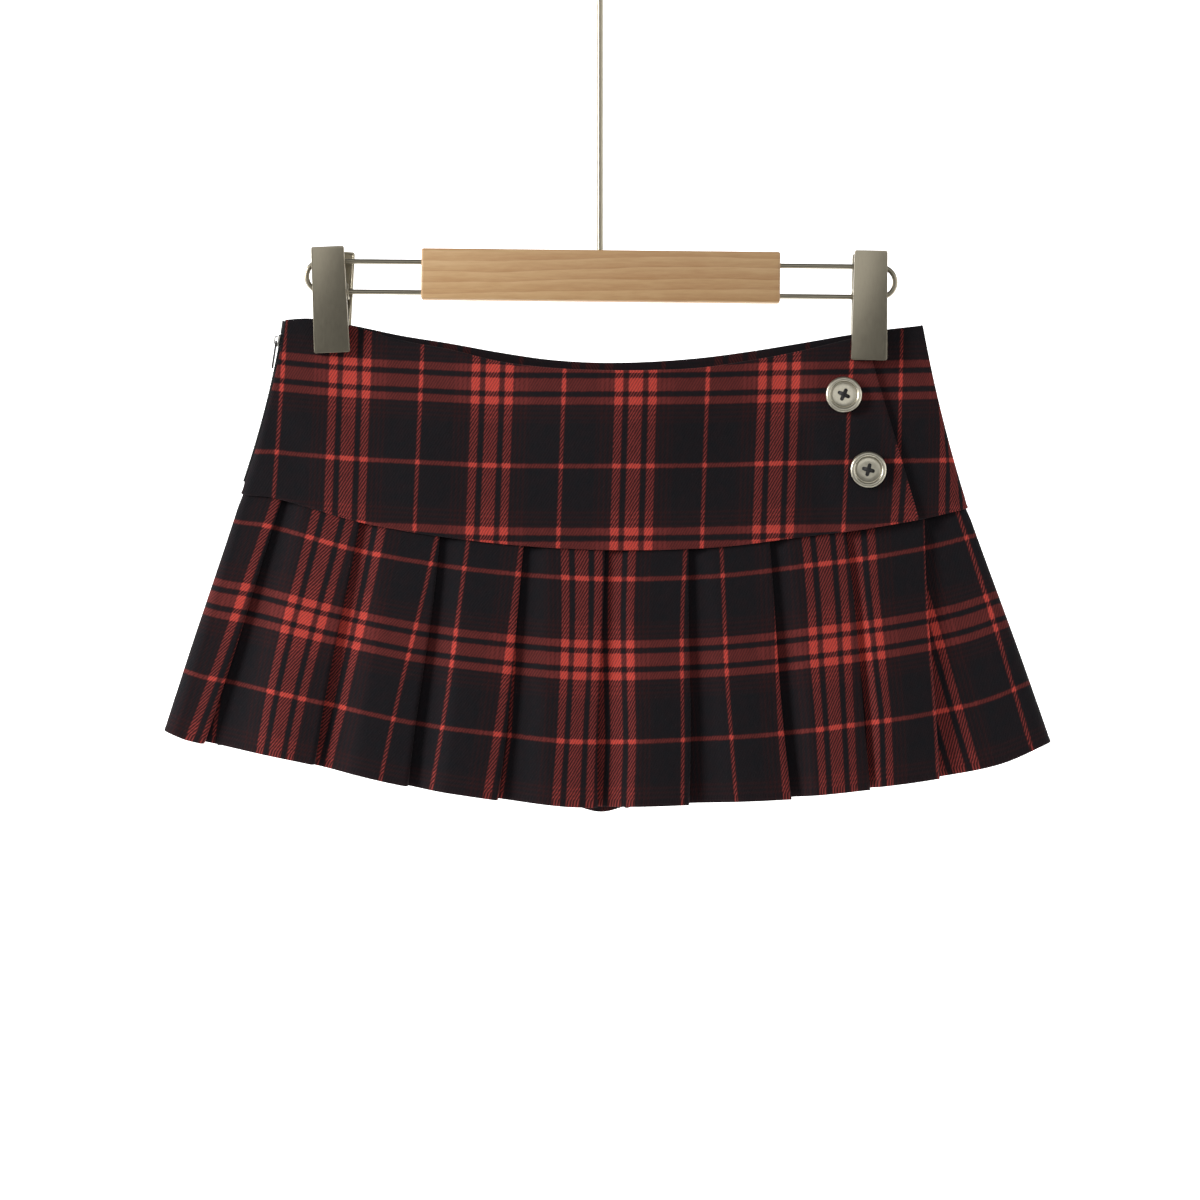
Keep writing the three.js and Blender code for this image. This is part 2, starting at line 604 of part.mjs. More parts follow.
// Stands a plate drawn in x and y upright, its thickness along x
function standing(shape, thickness) {
  const geometry = new THREE.ExtrudeGeometry(shape, {
    depth: thickness,
    bevelEnabled: false,
    curveSegments: 3,
  });
  return geometry.translate(0, 0, -thickness / 2).rotateX(Math.PI / 2).rotateZ(Math.PI / 2);
}
function zipGroup() {
  const group = new THREE.Group();
  const a = (ZIP.drop - waistDrop.front(YOKE_LEFT.waist)) / (SEAM.left - waistDrop.front(YOKE_LEFT.waist));
  group.position.set(yokeLeft(a), 0, LEVEL - ZIP.drop);
  group.rotation.y = degToRad(ZIP.lean);

  const plateMiddle = -ZIP.standoff - SLIDER.thickness / 2;
  const plateFace = plateMiddle - SLIDER.thickness / 2;
  const plate = standing(
    roundedPlate(2 * SLIDER.halfWidth, 2 * SLIDER.halfHeight, 1.4, 0),
    SLIDER.thickness,
  ).translate(plateMiddle, 0, 0);
  const bridgeShape = new THREE.Shape();
  const foot = plateMiddle;
  const crown = plateFace - BRIDGE.reach;
  const high = BRIDGE.halfHeight;
  bridgeShape.moveTo(foot, -high);
  bridgeShape.lineTo(foot, high);
  bridgeShape.lineTo(crown + 0.5, high);
  bridgeShape.lineTo(crown, high - 0.6);
  bridgeShape.lineTo(crown, 0.6 - high);
  bridgeShape.lineTo(crown + 0.5, -high);
  windowOf(bridgeShape, crown + BRIDGE.wall, plateFace, BRIDGE.wall - high, high - BRIDGE.wall);
  const bridge = new THREE.ExtrudeGeometry(bridgeShape, { depth: BRIDGE.width, bevelEnabled: false })
    .translate(0, 0, -BRIDGE.width / 2)
    .rotateX(Math.PI / 2);
  const slider = solidOf(plate).add(solidOf(bridge));
  group.add(named("zip_slider", geometryOf(slider), STEEL));

  // The pull tab's rung passes through the bridge, and its turning axis is the rung
  const tabShape = roundedPlate(PULL.width, PULL.length, 1.2, (PULL.rung - PULL.length) / 2);
  const inner = PULL.width / 2 - PULL.arm;
  windowOf(tabShape, -inner, inner, -PULL.window, -PULL.rung / 2);
  const tab = named("zip_pull", standing(tabShape, PULL.thickness), BLACK_ENAMEL);
  tab.position.set((plateFace + crown + BRIDGE.wall) / 2, 0, BRIDGE.wall - high + PULL.rung);
  tab.rotation.y = degToRad(-PULL.lean);
  group.add(tab);
  return group;
}

// A wire of round section through a list of places, each with its direction
class WirePath extends THREE.Curve {
  constructor(stations) {
    super();
    this.stations = stations;
  }
  getPoint(t) {
    return this.stations[Math.round(t * (this.stations.length - 1))].place.clone();
  }
  getPointAt(t) {
    return this.getPoint(t);
  }
  getTangentAt(t) {
    return this.stations[Math.round(t * (this.stations.length - 1))].way.clone();
  }
}
function wireGeometry(stations, diameter, sides) {
  const ring = Array.from({ length: sides }, (_, k) => {
    const angle = (2 * Math.PI * (k + 0.5)) / sides;
    return new THREE.Vector2(Math.cos(angle), Math.sin(angle)).multiplyScalar(diameter / 2);
  });
  return new THREE.ExtrudeGeometry(new THREE.Shape(ring), {
    steps: stations.length - 1,
    extrudePath: new WirePath(stations),
    bevelEnabled: false,
  });
}
// Stations of an arc in the x-z plane, from one angle to another in degrees
function arcStations(centreX, centreZ, radius, from, to, count) {
  const sense = Math.sign(to - from);
  return Array.from({ length: count + 1 }, (_, k) => {
    const angle = degToRad(lerp(from, to, k / count));
    const place = new THREE.Vector3(Math.cos(angle), 0, Math.sin(angle)).multiplyScalar(radius);
    place.add(new THREE.Vector3(centreX, 0, centreZ));
    return { place, way: new THREE.Vector3(-Math.sin(angle) * sense, 0, Math.cos(angle) * sense) };
  });
}
const straight = (x, z, wayX, wayZ) => ({
  place: new THREE.Vector3(x, 0, z),
  way: new THREE.Vector3(wayX, 0, wayZ),
});

// Hook: the stem stands in the bar, swings aside and runs round the rail's place
function hookPiece() {
  const radius = HOOK.inside + HOOK.wire / 2;
  const swing = degToRad(HOOK.swing);
  const bendZ = -HOOK.inside - 2 * radius * Math.sin(swing);
  const stations = [
    straight(0, BAR.top - SOCKET.seated, 0, 1),
    straight(0, bendZ - 2, 0, 1),
    ...arcStations(radius, bendZ, radius, 180, 180 - HOOK.swing, 6),
    ...arcStations(0, -HOOK.inside, radius, -HOOK.swing, HOOK.end, 26).slice(1),
  ];
  return named("hanger_hook", wireGeometry(stations, HOOK.wire, 10), STEEL);
}

// A round bore in the bar, from a point of its face along a direction
function bore(diameter, x, z, axis) {
  const radius = diameter / 2 + SOCKET.clearance;
  const drill = new THREE.CylinderGeometry(radius, radius, 2 * SOCKET.depth, 12);
  if (axis === "x") drill.rotateZ(Math.PI / 2);
  else drill.rotateX(Math.PI / 2).rotateY(-degToRad(BAR.tilt));
  return solidOf(drill.translate(x, 0, z));
}
function barPiece() {
  const halfLength = BAR.length / 2 - BAR.chamfer;
  const halfHeight = BAR.height / 2 - BAR.chamfer;
  const shape = new THREE.Shape();
  shape.moveTo(-halfLength, -halfHeight);
  shape.lineTo(halfLength, -halfHeight);
  shape.lineTo(halfLength, halfHeight);
  shape.lineTo(-halfLength, halfHeight);
  shape.closePath();
  const block = new THREE.ExtrudeGeometry(shape, {
    depth: BAR.thickness - 2 * BAR.chamfer,
    bevelSize: BAR.chamfer,
    bevelThickness: BAR.chamfer,
    bevelSegments: 1,
  });
  block.translate(BAR.middle, -BAR.height / 2, BAR.chamfer - BAR.thickness / 2).rotateX(Math.PI / 2);
  let bar = solidOf(block);
  for (const side of [-1, 1]) {
    const endX = BAR.middle + (side * BAR.length) / 2;
    bar = bar.subtract(bore(LOOP_WIRE.diameter, endX, -LOOP_WIRE.upper, "x"));
    bar = bar.subtract(bore(LOOP_WIRE.diameter, endX, -LOOP_WIRE.lower, "x"));
  }
  bar = bar.subtract(bore(HOOK.wire, 0, 0, "z"));
  return named("hanger_bar", geometryOf(bar), BEECH);
}

// Wire loop at one end of the bar: both ends stand in the bar, and a half round joins them
function loopPiece({ name, side, reach }) {
  const radius = (LOOP_WIRE.lower - LOOP_WIRE.upper) / 2;
  const middleZ = -(LOOP_WIRE.lower + LOOP_WIRE.upper) / 2;
  const seatX = BAR.middle + side * (BAR.length / 2 - SOCKET.seated);
  const bendX = side * (reach - LOOP_WIRE.diameter / 2 - radius);
  const stations = [
    straight(seatX, -LOOP_WIRE.upper, side, 0),
    ...arcStations(bendX, middleZ, radius, 90, 90 - side * 180, 10),
    straight(seatX, -LOOP_WIRE.lower, -side, 0),
  ];
  return named(name, wireGeometry(stations, LOOP_WIRE.diameter, 8), STEEL);
}

// Clip plate: a pressed tray, its rim towards the cloth, its origin where it rocks on the spring barrel
function trayShape(above, below, inset) {
  const top = CLIP.topWidth / 2 - inset;
  const jaw = CLIP.jawWidth / 2 - inset;
  const high = above - inset;
  const low = inset - below;
  const corner = CLIP.corner - inset / 2;
  const shape = new THREE.Shape();
  shape.moveTo(-jaw + corner, low);
  shape.lineTo(jaw - corner, low);
  shape.quadraticCurveTo(jaw, low, jaw, low + corner);
  shape.lineTo(top, high - corner);
  shape.quadraticCurveTo(top, high, top - corner, high);
  shape.lineTo(corner - top, high);
  shape.quadraticCurveTo(-top, high, -top, high - corner);
  shape.lineTo(-jaw, low + corner);
  shape.quadraticCurveTo(-jaw, low, -jaw + corner, low);
  return shape;
}
function clipPlate({ name, x, above, below, lean, jaw, front }) {
  const tray = (inset, depth) =>
    new THREE.ExtrudeGeometry(trayShape(above, below, inset), {
      depth,
      bevelEnabled: false,
      curveSegments: 3,
    });
  const outside = tray(0, CLIP.depth).rotateX(Math.PI / 2);
  const inside = tray(CLIP.wall, CLIP.depth).translate(0, 0, CLIP.wall - CLIP.depth).rotateX(Math.PI / 2);
  // Drawn with its face at -depth, its rim at 0
  const body = solidOf(outside).subtract(solidOf(inside));
  const plate = named(name, geometryOf(body), STEEL);
  const side = front ? -1 : 1;
  const standoff = CLIP.barrel + SEAM_GAP;
  const opening = Math.asin((standoff - jaw - SEAM_GAP) / below);
  plate.rotation.order = "YXZ";
  plate.rotation.set(-side * opening, degToRad(lean - BAR.tilt), front ? 0 : Math.PI);
  plate.position.set(x, side * standoff, -LOOP_WIRE.lower);
  return plate;
}
function barrelPiece({ name, x }) {
  const half = CLIP.barrelLength / 2;
  const profile = [
    new THREE.Vector2(CLIP.barrelBore, -half),
    new THREE.Vector2(CLIP.barrel, -half),
    new THREE.Vector2(CLIP.barrel, half),
    new THREE.Vector2(CLIP.barrelBore, half),
    new THREE.Vector2(CLIP.barrelBore, -half),
  ];
  const barrel = named(name, new THREE.LatheGeometry(profile, 20), STEEL);
  barrel.rotation.z = Math.PI / 2;
  barrel.position.set(x, 0, -LOOP_WIRE.lower);
  return barrel;
}
function hangerGroup() {
  const hanger = new THREE.Group();
  hanger.position.z = BAR.top;
  hanger.rotation.y = degToRad(BAR.tilt);
  hanger.add(barPiece(), ...LOOPS.map(loopPiece));
  hanger.add(...CLIP_PLATES.map(clipPlate), ...CLIP_BARRELS.map(barrelPiece));
  return hanger;
}

const skirtOnHanger = new THREE.Group();
skirtOnHanger.add(...yokePieces(), ...flouncePieces(), ...BUTTONS.map(buttonPiece));
skirtOnHanger.add(zipGroup(), hookPiece(), hangerGroup());
export default skirtOnHanger;
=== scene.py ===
import math

import bmesh
import bpy
import numpy as np
from mathutils import Matrix, Vector


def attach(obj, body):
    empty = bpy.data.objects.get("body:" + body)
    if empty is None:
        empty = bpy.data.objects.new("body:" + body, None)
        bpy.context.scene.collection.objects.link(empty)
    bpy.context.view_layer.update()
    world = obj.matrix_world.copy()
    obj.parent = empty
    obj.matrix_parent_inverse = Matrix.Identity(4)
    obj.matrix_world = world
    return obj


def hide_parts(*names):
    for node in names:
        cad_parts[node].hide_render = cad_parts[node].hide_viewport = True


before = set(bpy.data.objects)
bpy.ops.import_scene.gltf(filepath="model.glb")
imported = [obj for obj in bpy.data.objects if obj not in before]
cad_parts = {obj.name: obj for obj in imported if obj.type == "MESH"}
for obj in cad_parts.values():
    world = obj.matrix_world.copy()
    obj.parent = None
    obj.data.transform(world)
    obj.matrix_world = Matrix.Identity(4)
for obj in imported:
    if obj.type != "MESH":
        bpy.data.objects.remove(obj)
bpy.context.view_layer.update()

# Camera and studio. The photograph is a straight front view of a flat-hung skirt on white, so the
# lens is long and level. Lengths are in metres here, and in millimetres for the cloth further down.
LEVEL_VIEW = -0.3885  # the height of the photograph's middle
VIEW_DISTANCE = 2.2

camera_data = bpy.data.cameras.new("photo_camera")
camera_data.lens = 120
camera_data.sensor_width = 36
camera = bpy.data.objects.new("photo_camera", camera_data)
camera.location = (0, -VIEW_DISTANCE, LEVEL_VIEW)
camera.rotation_euler = (math.radians(90), 0, 0)
bpy.context.scene.collection.objects.link(camera)
bpy.context.scene.camera = camera
bpy.context.scene.view_settings.view_transform = "Standard"


def linear(hex_colour):
    """An sRGB hex colour as the linear RGBA that a shader socket takes."""
    channels = [int(hex_colour[k : k + 2], 16) / 255 for k in (1, 3, 5)]
    return (*[c / 12.92 if c <= 0.04045 else ((c + 0.055) / 1.055) ** 2.4 for c in channels], 1)


def add_node(tree, kind, settings=None, inputs=None):
    """A shader node with its settings and its sockets' values. A socket given as input links to it."""
    node = tree.nodes.new(kind)
    for name, value in (settings or {}).items():
        setattr(node, name, value)
    for name, value in (inputs or {}).items():
        if isinstance(value, bpy.types.NodeSocket):
            tree.links.new(value, node.inputs[name])
        else:
            node.inputs[name].default_value = value
    return node


def new_material(name):
    """An empty material, its tree, and the socket that its shader links to."""
    material = bpy.data.materials.new(name)
    material.use_nodes = True
    material.node_tree.nodes.clear()
    output = add_node(material.node_tree, "ShaderNodeOutputMaterial")
    return material, material.node_tree, output.inputs["Surface"]


def surface_at(tree, surface, inputs):
    """The Principled shader of a material, linked to its output."""
    shader = add_node(tree, "ShaderNodeBsdfPrincipled", inputs=inputs)
    tree.links.new(shader.outputs["BSDF"], surface)
    return shader


def add_noise(tree, vector, scale, detail, roughness=0.5, flat=False):
    """The value of a noise texture. Flat noise reads only the first two coordinates."""
    settings = {"noise_dimensions": "2D"} if flat else {}
    inputs = {"Vector": vector, "Scale": scale, "Detail": detail, "Roughness": roughness}
    return add_node(tree, "ShaderNodeTexNoise", settings, inputs).outputs["Fac"]


def add_ramp(tree, value, *stops):
    """The colour, at a value, of a ramp through stops of a place and an sRGB colour."""
    node = add_node(tree, "ShaderNodeValToRGB", inputs={"Fac": value})
    elements = node.color_ramp.elements
    for element, (place, colour) in zip(elements, (stops[0], stops[-1])):
        element.position = place
        element.color = linear(colour)
    for place, colour in stops[1:-1]:
        elements.new(place).color = linear(colour)
    return node.outputs["Color"]


def shape_only(name, vertices, faces):
    """A mesh object at the origin, its place in its mesh."""
    mesh = bpy.data.meshes.new(name)
    mesh.from_pydata([tuple(v) for v in vertices], [], [tuple(f) for f in faces])
    made = bpy.data.objects.new(name, mesh)
    bpy.context.scene.collection.objects.link(made)
    return made


# Painted studio floor and wall in one sweep, matt white
paper, paper_tree, paper_surface = new_material("white_matt_studio_paper")
paper_place = add_node(paper_tree, "ShaderNodeTexCoord")
grain = add_noise(paper_tree, paper_place.outputs["Object"], 40.0, 2.0)
surface_at(
    paper_tree,
    paper_surface,
    {
        "Base Color": add_ramp(paper_tree, grain, (0, "#f6f6f4"), (1, "#fbfbfa")),
        "Roughness": 0.95,
        "Specular IOR Level": 0.1,
        "Emission Color": linear("#ffffff"),
        "Emission Strength": 0.95,
    },
)
# The sweep's section, as y and z. The wall stands behind the camera of a view from the back
SWEEP = [(-0.4, -1.05), (2.5, -1.05), (2.78, -0.99), (2.94, -0.82), (3.0, -0.55), (3.0, 2.8)]
sweep_vertices = [(x, y, z) for y, z in SWEEP for x in (-2.8, 2.8)]
sweep_faces = [(2 * k, 2 * k + 1, 2 * k + 3, 2 * k + 2) for k in range(len(SWEEP) - 1)]
sweep = shape_only("studio_sweep", sweep_vertices, sweep_faces)
sweep.data.materials.append(paper)
for face in sweep.data.polygons:
    face.use_smooth = True


def soft_light(name, watts, width, height, place, target, colour="#ffffff"):
    """A rectangular soft box that looks at a point."""
    data = bpy.data.lights.new(name, "AREA")
    data.shape = "RECTANGLE"
    data.size = width
    data.size_y = height
    data.energy = watts
    data.color = linear(colour)[:3]
    light = bpy.data.objects.new(name, data)
    light.location = place
    light.rotation_euler = (Vector(target) - Vector(place)).to_track_quat("-Z", "Y").to_euler()
    bpy.context.scene.collection.objects.link(light)


soft_light("key_left_above", 56, 0.7, 0.9, (-2.2, -1.02, 0.5), (0, 0, -0.4))
soft_light("fill_right", 6.5, 1.4, 1.6, (1.9, -2.0, 0.1), (0, 0, -0.4))
soft_light("front_wash", 9, 2.2, 1.2, (0, -2.9, 0.6), (0, 0, -0.4))
soft_light("wall_left", 16, 0.8, 1.8, (-2.0, -0.1, -0.2), (-0.1, 0.98, -0.4))
soft_light("wall_right", 16, 0.8, 1.8, (2.0, -0.1, -0.2), (0.1, 0.98, -0.4))
world = bpy.data.worlds.new("studio_air")
world.use_nodes = True
world.node_tree.nodes["Background"].inputs["Color"].default_value = linear("#f4f6f8")
world.node_tree.nodes["Background"].inputs["Strength"].default_value = 0.2
bpy.context.scene.world = world


# Yoke: two plies of brushed twill flannel, fused, cut as a front with a mock-wrap edge, a short side
# front that runs under it, and a back. Each is pressed flat at its seams and hangs in a slight bow
# between the clips. Millimetres from here on, and a drop is counted down from the bar's top.
MM = 0.001
LEVEL = -196.0
SEAM_GAP = 0.3
YOKE_CLOTH = 1.5
OVERLAP_LIFT = YOKE_CLOTH + SEAM_GAP
WAIST = np.array(
    [
        # x, front drop, back drop
        (-174.0, 38.3, 38.3),
        (-158.4, 37.7, 37.7),
        (-136.4, 41.8, 41.3),
        (-110.0, 49.5, 46.8),
        (-82.5, 54.8, 51.2),
        (-55.0, 61.5, 56.1),
        (-27.5, 65.0, 60.0),
        (0.0, 66.3, 61.6),
        (27.5, 66.3, 61.1),
        (55.0, 64.9, 59.1),
        (82.5, 60.8, 55.6),
        (110.0, 55.6, 51.2),
        (137.5, 49.0, 46.5),
        (158.4, 44.6, 43.5),
        (177.6, 41.3, 41.3),
    ]
)
YOKE_LEFT = (-173.2, -197.4, 2.4)  # x at the waist, x at the seam, and bow
YOKE_RIGHT = (177.6, 202.4, -1.7)
SEAM_DROP = (133.7, 141.6, 27.5)  # left, right, and sag
YOKE_CORNER = (1.65, 5.2)
YOKE_BOW = {"front": (6, 8), "back": (4, 6.5)}
PINCH = (-137, 137.5, 0.2, 0.9)
WRAP_EDGE = (145.5, 174.8)
WRAP_UNDER = 28
WRAP_RAMP = (50, 32)
WRAP_CURL = 0.7  # the wrap's free edge stands off by this much more, over its last few millimetres
WRAP_CURL_WIDTH = 8
YOKE_PRESSED = 0.1  # the dressed cloth is thinner than its solid by this much
LEFT_SEAM_RISE = 2.9  # the seam runs higher just in from the zip
LEFT_RISE_ENDS = ((-197, -178), (-172, -118))  # where that rise comes in and goes out
MIDDLE_SEAM_RISE = 0.5
MIDDLE_RISE_ENDS = ((-150, -110), (150, 185))
RIGHT_SEAM_RISE = (108, 28, 1.2)  # where the seam runs higher again, how wide and how much
YOKE_EDGE = (0.35, 0.6)  # how far the yoke's turned lower edge stands out and hangs over the flounce
OUTWARD = {"front": -1, "back": 1}


def lerp(start, end, share):
    return start + (end - start) * share


def smoothstep(x, low, high):
    t = np.clip((x - low) / (high - low), 0, 1)
    return t * t * (3 - 2 * t)


def swelling(x, start, end):
    """Nought outside two ramps, and one between them."""
    return smoothstep(x, *start) * (1 - smoothstep(x, *end))


def curve_through(rows, column):
    """A smooth curve through the rows of a table, each row's slope taken from its neighbours."""
    xs = rows[:, 0]
    ys = rows[:, column]
    last = len(xs) - 1
    before = np.maximum(np.arange(last + 1) - 1, 0)
    after = np.minimum(np.arange(last + 1) + 1, last)
    slopes = (ys[after] - ys[before]) / (xs[after] - xs[before])

    def value(x):
        k = np.clip(np.searchsorted(xs, x, side="left") - 1, 0, last - 1)
        width = xs[k + 1] - xs[k]
        t = np.clip((x - xs[k]) / width, 0, 1)
        from_start = (1 + 2 * t) * (1 - t) ** 2
        bend = width * slopes[k] * t * (1 - t) ** 2 - width * slopes[k + 1] * t**2 * (1 - t)
        return ys[k] * from_start + ys[k + 1] * (1 - from_start) + bend

    return value


waist_drop = {"front": curve_through(WAIST, 1), "back": curve_through(WAIST, 2)}


def seam_drop(x):
    share = (x - YOKE_LEFT[1]) / (YOKE_RIGHT[1] - YOKE_LEFT[1])
    rise = LEFT_SEAM_RISE * swelling(x, *LEFT_RISE_ENDS)
    rise = rise + MIDDLE_SEAM_RISE * swelling(x, *MIDDLE_RISE_ENDS)
    place, width, height = RIGHT_SEAM_RISE
    rise = rise + height * np.exp(-(((x - place) / width) ** 2))
    return lerp(SEAM_DROP[0], SEAM_DROP[1], share) + SEAM_DROP[2] * 4 * share * (1 - share) - rise


def yoke_left(a):
    return lerp(YOKE_LEFT[0], YOKE_LEFT[1], a) + YOKE_LEFT[2] * 4 * a * (1 - a)


def yoke_right(a):
    return lerp(YOKE_RIGHT[0], YOKE_RIGHT[1], a) + YOKE_RIGHT[2] * 4 * a * (1 - a)


def yoke_corner(a):
    return lerp(YOKE_CORNER[0], YOKE_CORNER[1], smoothstep(a, PINCH[2], 1))


def wrap_edge(a):
    return lerp(WRAP_EDGE[0], WRAP_EDGE[1], a)


def yoke_depth(side, x, a):
    corner = yoke_corner(a)
    left = yoke_left(a) + corner
    right = yoke_right(a) - corner
    across = np.clip((2 * x - left - right) / (right - left), -1, 1)
    span = np.clip((x - PINCH[0]) / (PINCH[1] - PINCH[0]), 0, 1)
    pinched = np.sin(np.pi * span) ** 2
    shape = lerp(pinched, 1 - across**2, smoothstep(a, PINCH[2], PINCH[3]))
    return corner + lerp(YOKE_BOW[side][0], YOKE_BOW[side][1], a) * shape


def yoke_height(side, x, a):
    share = (x - yoke_left(a)) / (yoke_right(a) - yoke_left(a))
    at_waist = waist_drop[side](lerp(YOKE_LEFT[0], YOKE_RIGHT[0], share))
    at_seam = seam_drop(lerp(YOKE_LEFT[1], YOKE_RIGHT[1], share))
    return LEVEL - lerp(at_waist, at_seam, a)


def wrap_lift(x, a):
    edge = wrap_edge(a)
    lift = OVERLAP_LIFT * smoothstep(x, edge - WRAP_RAMP[0], edge - WRAP_RAMP[1])
    return lift + WRAP_CURL * smoothstep(x, edge - WRAP_CURL_WIDTH, edge)


def crease(x, drop, creases):
    """The relief of soft creases: each is a line from one place to another, with a width and a height."""
    relief = np.zeros(np.broadcast(x, drop).shape)
    for start_x, start_drop, end_x, end_drop, width, height in creases:
        way = np.array([end_x - start_x, end_drop - start_drop])
        length = np.hypot(*way)
        way = way / length
        along = ((x - start_x) * way[0] + (drop - start_drop) * way[1]) / length
        aside = ((x - start_x) * way[1] - (drop - start_drop) * way[0]) / width
        fade = smoothstep(along, -0.25, 0.2) * (1 - smoothstep(along, 0.6, 1.15))
        relief += height * fade * np.exp(-(aside**2))
    return relief


def cloth_shell(name, middle, thickness, fabric, material, inside_out=False):
    """A closed thin shell round a grid of points, with rounded rims. Rows run down and columns run
    left to right as seen from outside, or from inside where it is inside_out. fabric holds each
    point's place in the flat cloth, in mm."""
    half = np.broadcast_to(np.asarray(thickness, float) / 2, middle.shape[:2])
    rims = 2
    rim_reach = np.array([1.0, 0.7])
    rim_level = np.array([0.0, 0.72])
    grid = np.pad(middle, ((rims, rims), (rims, rims), (0, 0)), mode="edge")
    half = np.pad(half, rims, mode="edge")
    cloth = np.pad(fabric, ((rims, rims), (rims, rims), (0, 0)), mode="edge")

    across = np.gradient(middle, axis=1)
    down = np.gradient(middle, axis=0)
    normals = np.cross(down, across)
    normals /= np.linalg.norm(normals, axis=2, keepdims=True)
    normals = np.pad(normals, ((rims, rims), (rims, rims), (0, 0)), mode="edge")

    def unit(vectors):
        return vectors / np.linalg.norm(vectors, axis=-1, keepdims=True)

    level = np.ones(grid.shape[:2])
    rows, columns = level.shape
    for ring, (reach, rise) in enumerate(zip(rim_reach, rim_level)):
        top = unit(grid[rims] - grid[rims + 1]) * half[rims][:, None] * reach
        bottom = unit(grid[-rims - 1] - grid[-rims - 2]) * half[-rims - 1][:, None] * reach
        left = unit(grid[:, rims] - grid[:, rims + 1]) * half[:, rims][:, None] * reach
        right = unit(grid[:, -rims - 1] - grid[:, -rims - 2]) * half[:, -rims - 1][:, None] * reach
        grid[ring] += top
        grid[-ring - 1] += bottom
        grid[:, ring] += left
        grid[:, -ring - 1] += right
        level[ring] = np.minimum(level[ring], rise)
        level[-ring - 1] = np.minimum(level[-ring - 1], rise)
        level[:, ring] = np.minimum(level[:, ring], rise)
        level[:, -ring - 1] = np.minimum(level[:, -ring - 1], rise)
    offset = normals * (half * level)[:, :, None]
    outer = (grid + offset).reshape(-1, 3)
    inner = (grid - offset).reshape(-1, 3)

    index = np.arange(rows * columns).reshape(rows, columns)
    inside = level > 0
    inner_index = index.copy()
    inner_index[inside] = rows * columns + np.arange(inside.sum())
    vertices = np.vstack([outer, inner[inside.reshape(-1)]]) * MM
    a, b, c, d = index[:-1, :-1], index[1:, :-1], index[1:, 1:], index[:-1, 1:]
    outside_faces = np.stack([a, b, c, d], -1).reshape(-1, 4)
    a, b, c, d = (
        inner_index[:-1, :-1],
        inner_index[:-1, 1:],
        inner_index[1:, 1:],
        inner_index[1:, :-1],
    )
    inside_faces = np.stack([a, b, c, d], -1).reshape(-1, 4)
    faces = np.vstack([outside_faces, inside_faces])
    piece = shape_only(name, vertices, faces)

    flat_cloth = cloth.reshape(-1, 2)
    per_vertex = np.vstack([flat_cloth, flat_cloth[inside.reshape(-1)]])
    layer = piece.data.uv_layers.new(name="flat_cloth_mm")
    corners = np.empty(len(piece.data.loops), dtype=np.int32)
    piece.data.loops.foreach_get("vertex_index", corners)
    layer.data.foreach_set("uv", per_vertex[corners].astype(np.float32).reshape(-1))
    # Painted shade: each point is marked 1 on the inward face and 0 on the outward one, and the plaid
    # material darkens the marked face as if in shade
    sides = [1.0, 0.0] if inside_out else [0.0, 1.0]
    inward_painted_shade = np.repeat(sides, [rows * columns, inside.sum()])
    shade = piece.data.attributes.new("inward_painted_shade", "FLOAT", "POINT")
    shade.data.foreach_set("value", inward_painted_shade.astype(np.float32))
    piece.data.polygons.foreach_set("use_smooth", np.ones(len(piece.data.polygons), dtype=bool))
    piece.data.materials.append(material)
    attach(piece, "root")
    return piece


# The plaid: a black ground with red stripes in warp and weft, woven 2/2 twill and brushed. The
# sizes are the distance from a group's middle, in millimetres.
WARP_REPEAT = 78.65
WEFT_REPEAT = 89.4
TWILL_PITCH = 1.6  # across the cloth. The real one is 1.2, which is too fine to show
TWILL_SLOPE = 0.577
STRIPE_BLUR = 0.42  # half the width of a stripe's fuzzy edge
FINE_PITCH = 2.6  # fine lines run beside each group, from this far out they fade, and end
FINE_REACH = (19.0, 22.5)
FINE_STRENGTH = 0.2
plaid, plaid_tree, plaid_surface = new_material("brushed_twill_flannel_plaid")
cloth_place = add_node(plaid_tree, "ShaderNodeUVMap", {"uv_map": "flat_cloth_mm"})
object_place = add_node(plaid_tree, "ShaderNodeTexCoord")
cloth_axes = add_node(plaid_tree, "ShaderNodeSeparateXYZ", inputs={"Vector": cloth_place.outputs["UV"]})


def maths(tree, operation, first, second=0.0, third=0.0):
    """The result of one sum on two or three values or sockets."""
    node = add_node(tree, "ShaderNodeMath", {"operation": operation}, {0: first, 1: second, 2: third})
    return node.outputs["Value"]


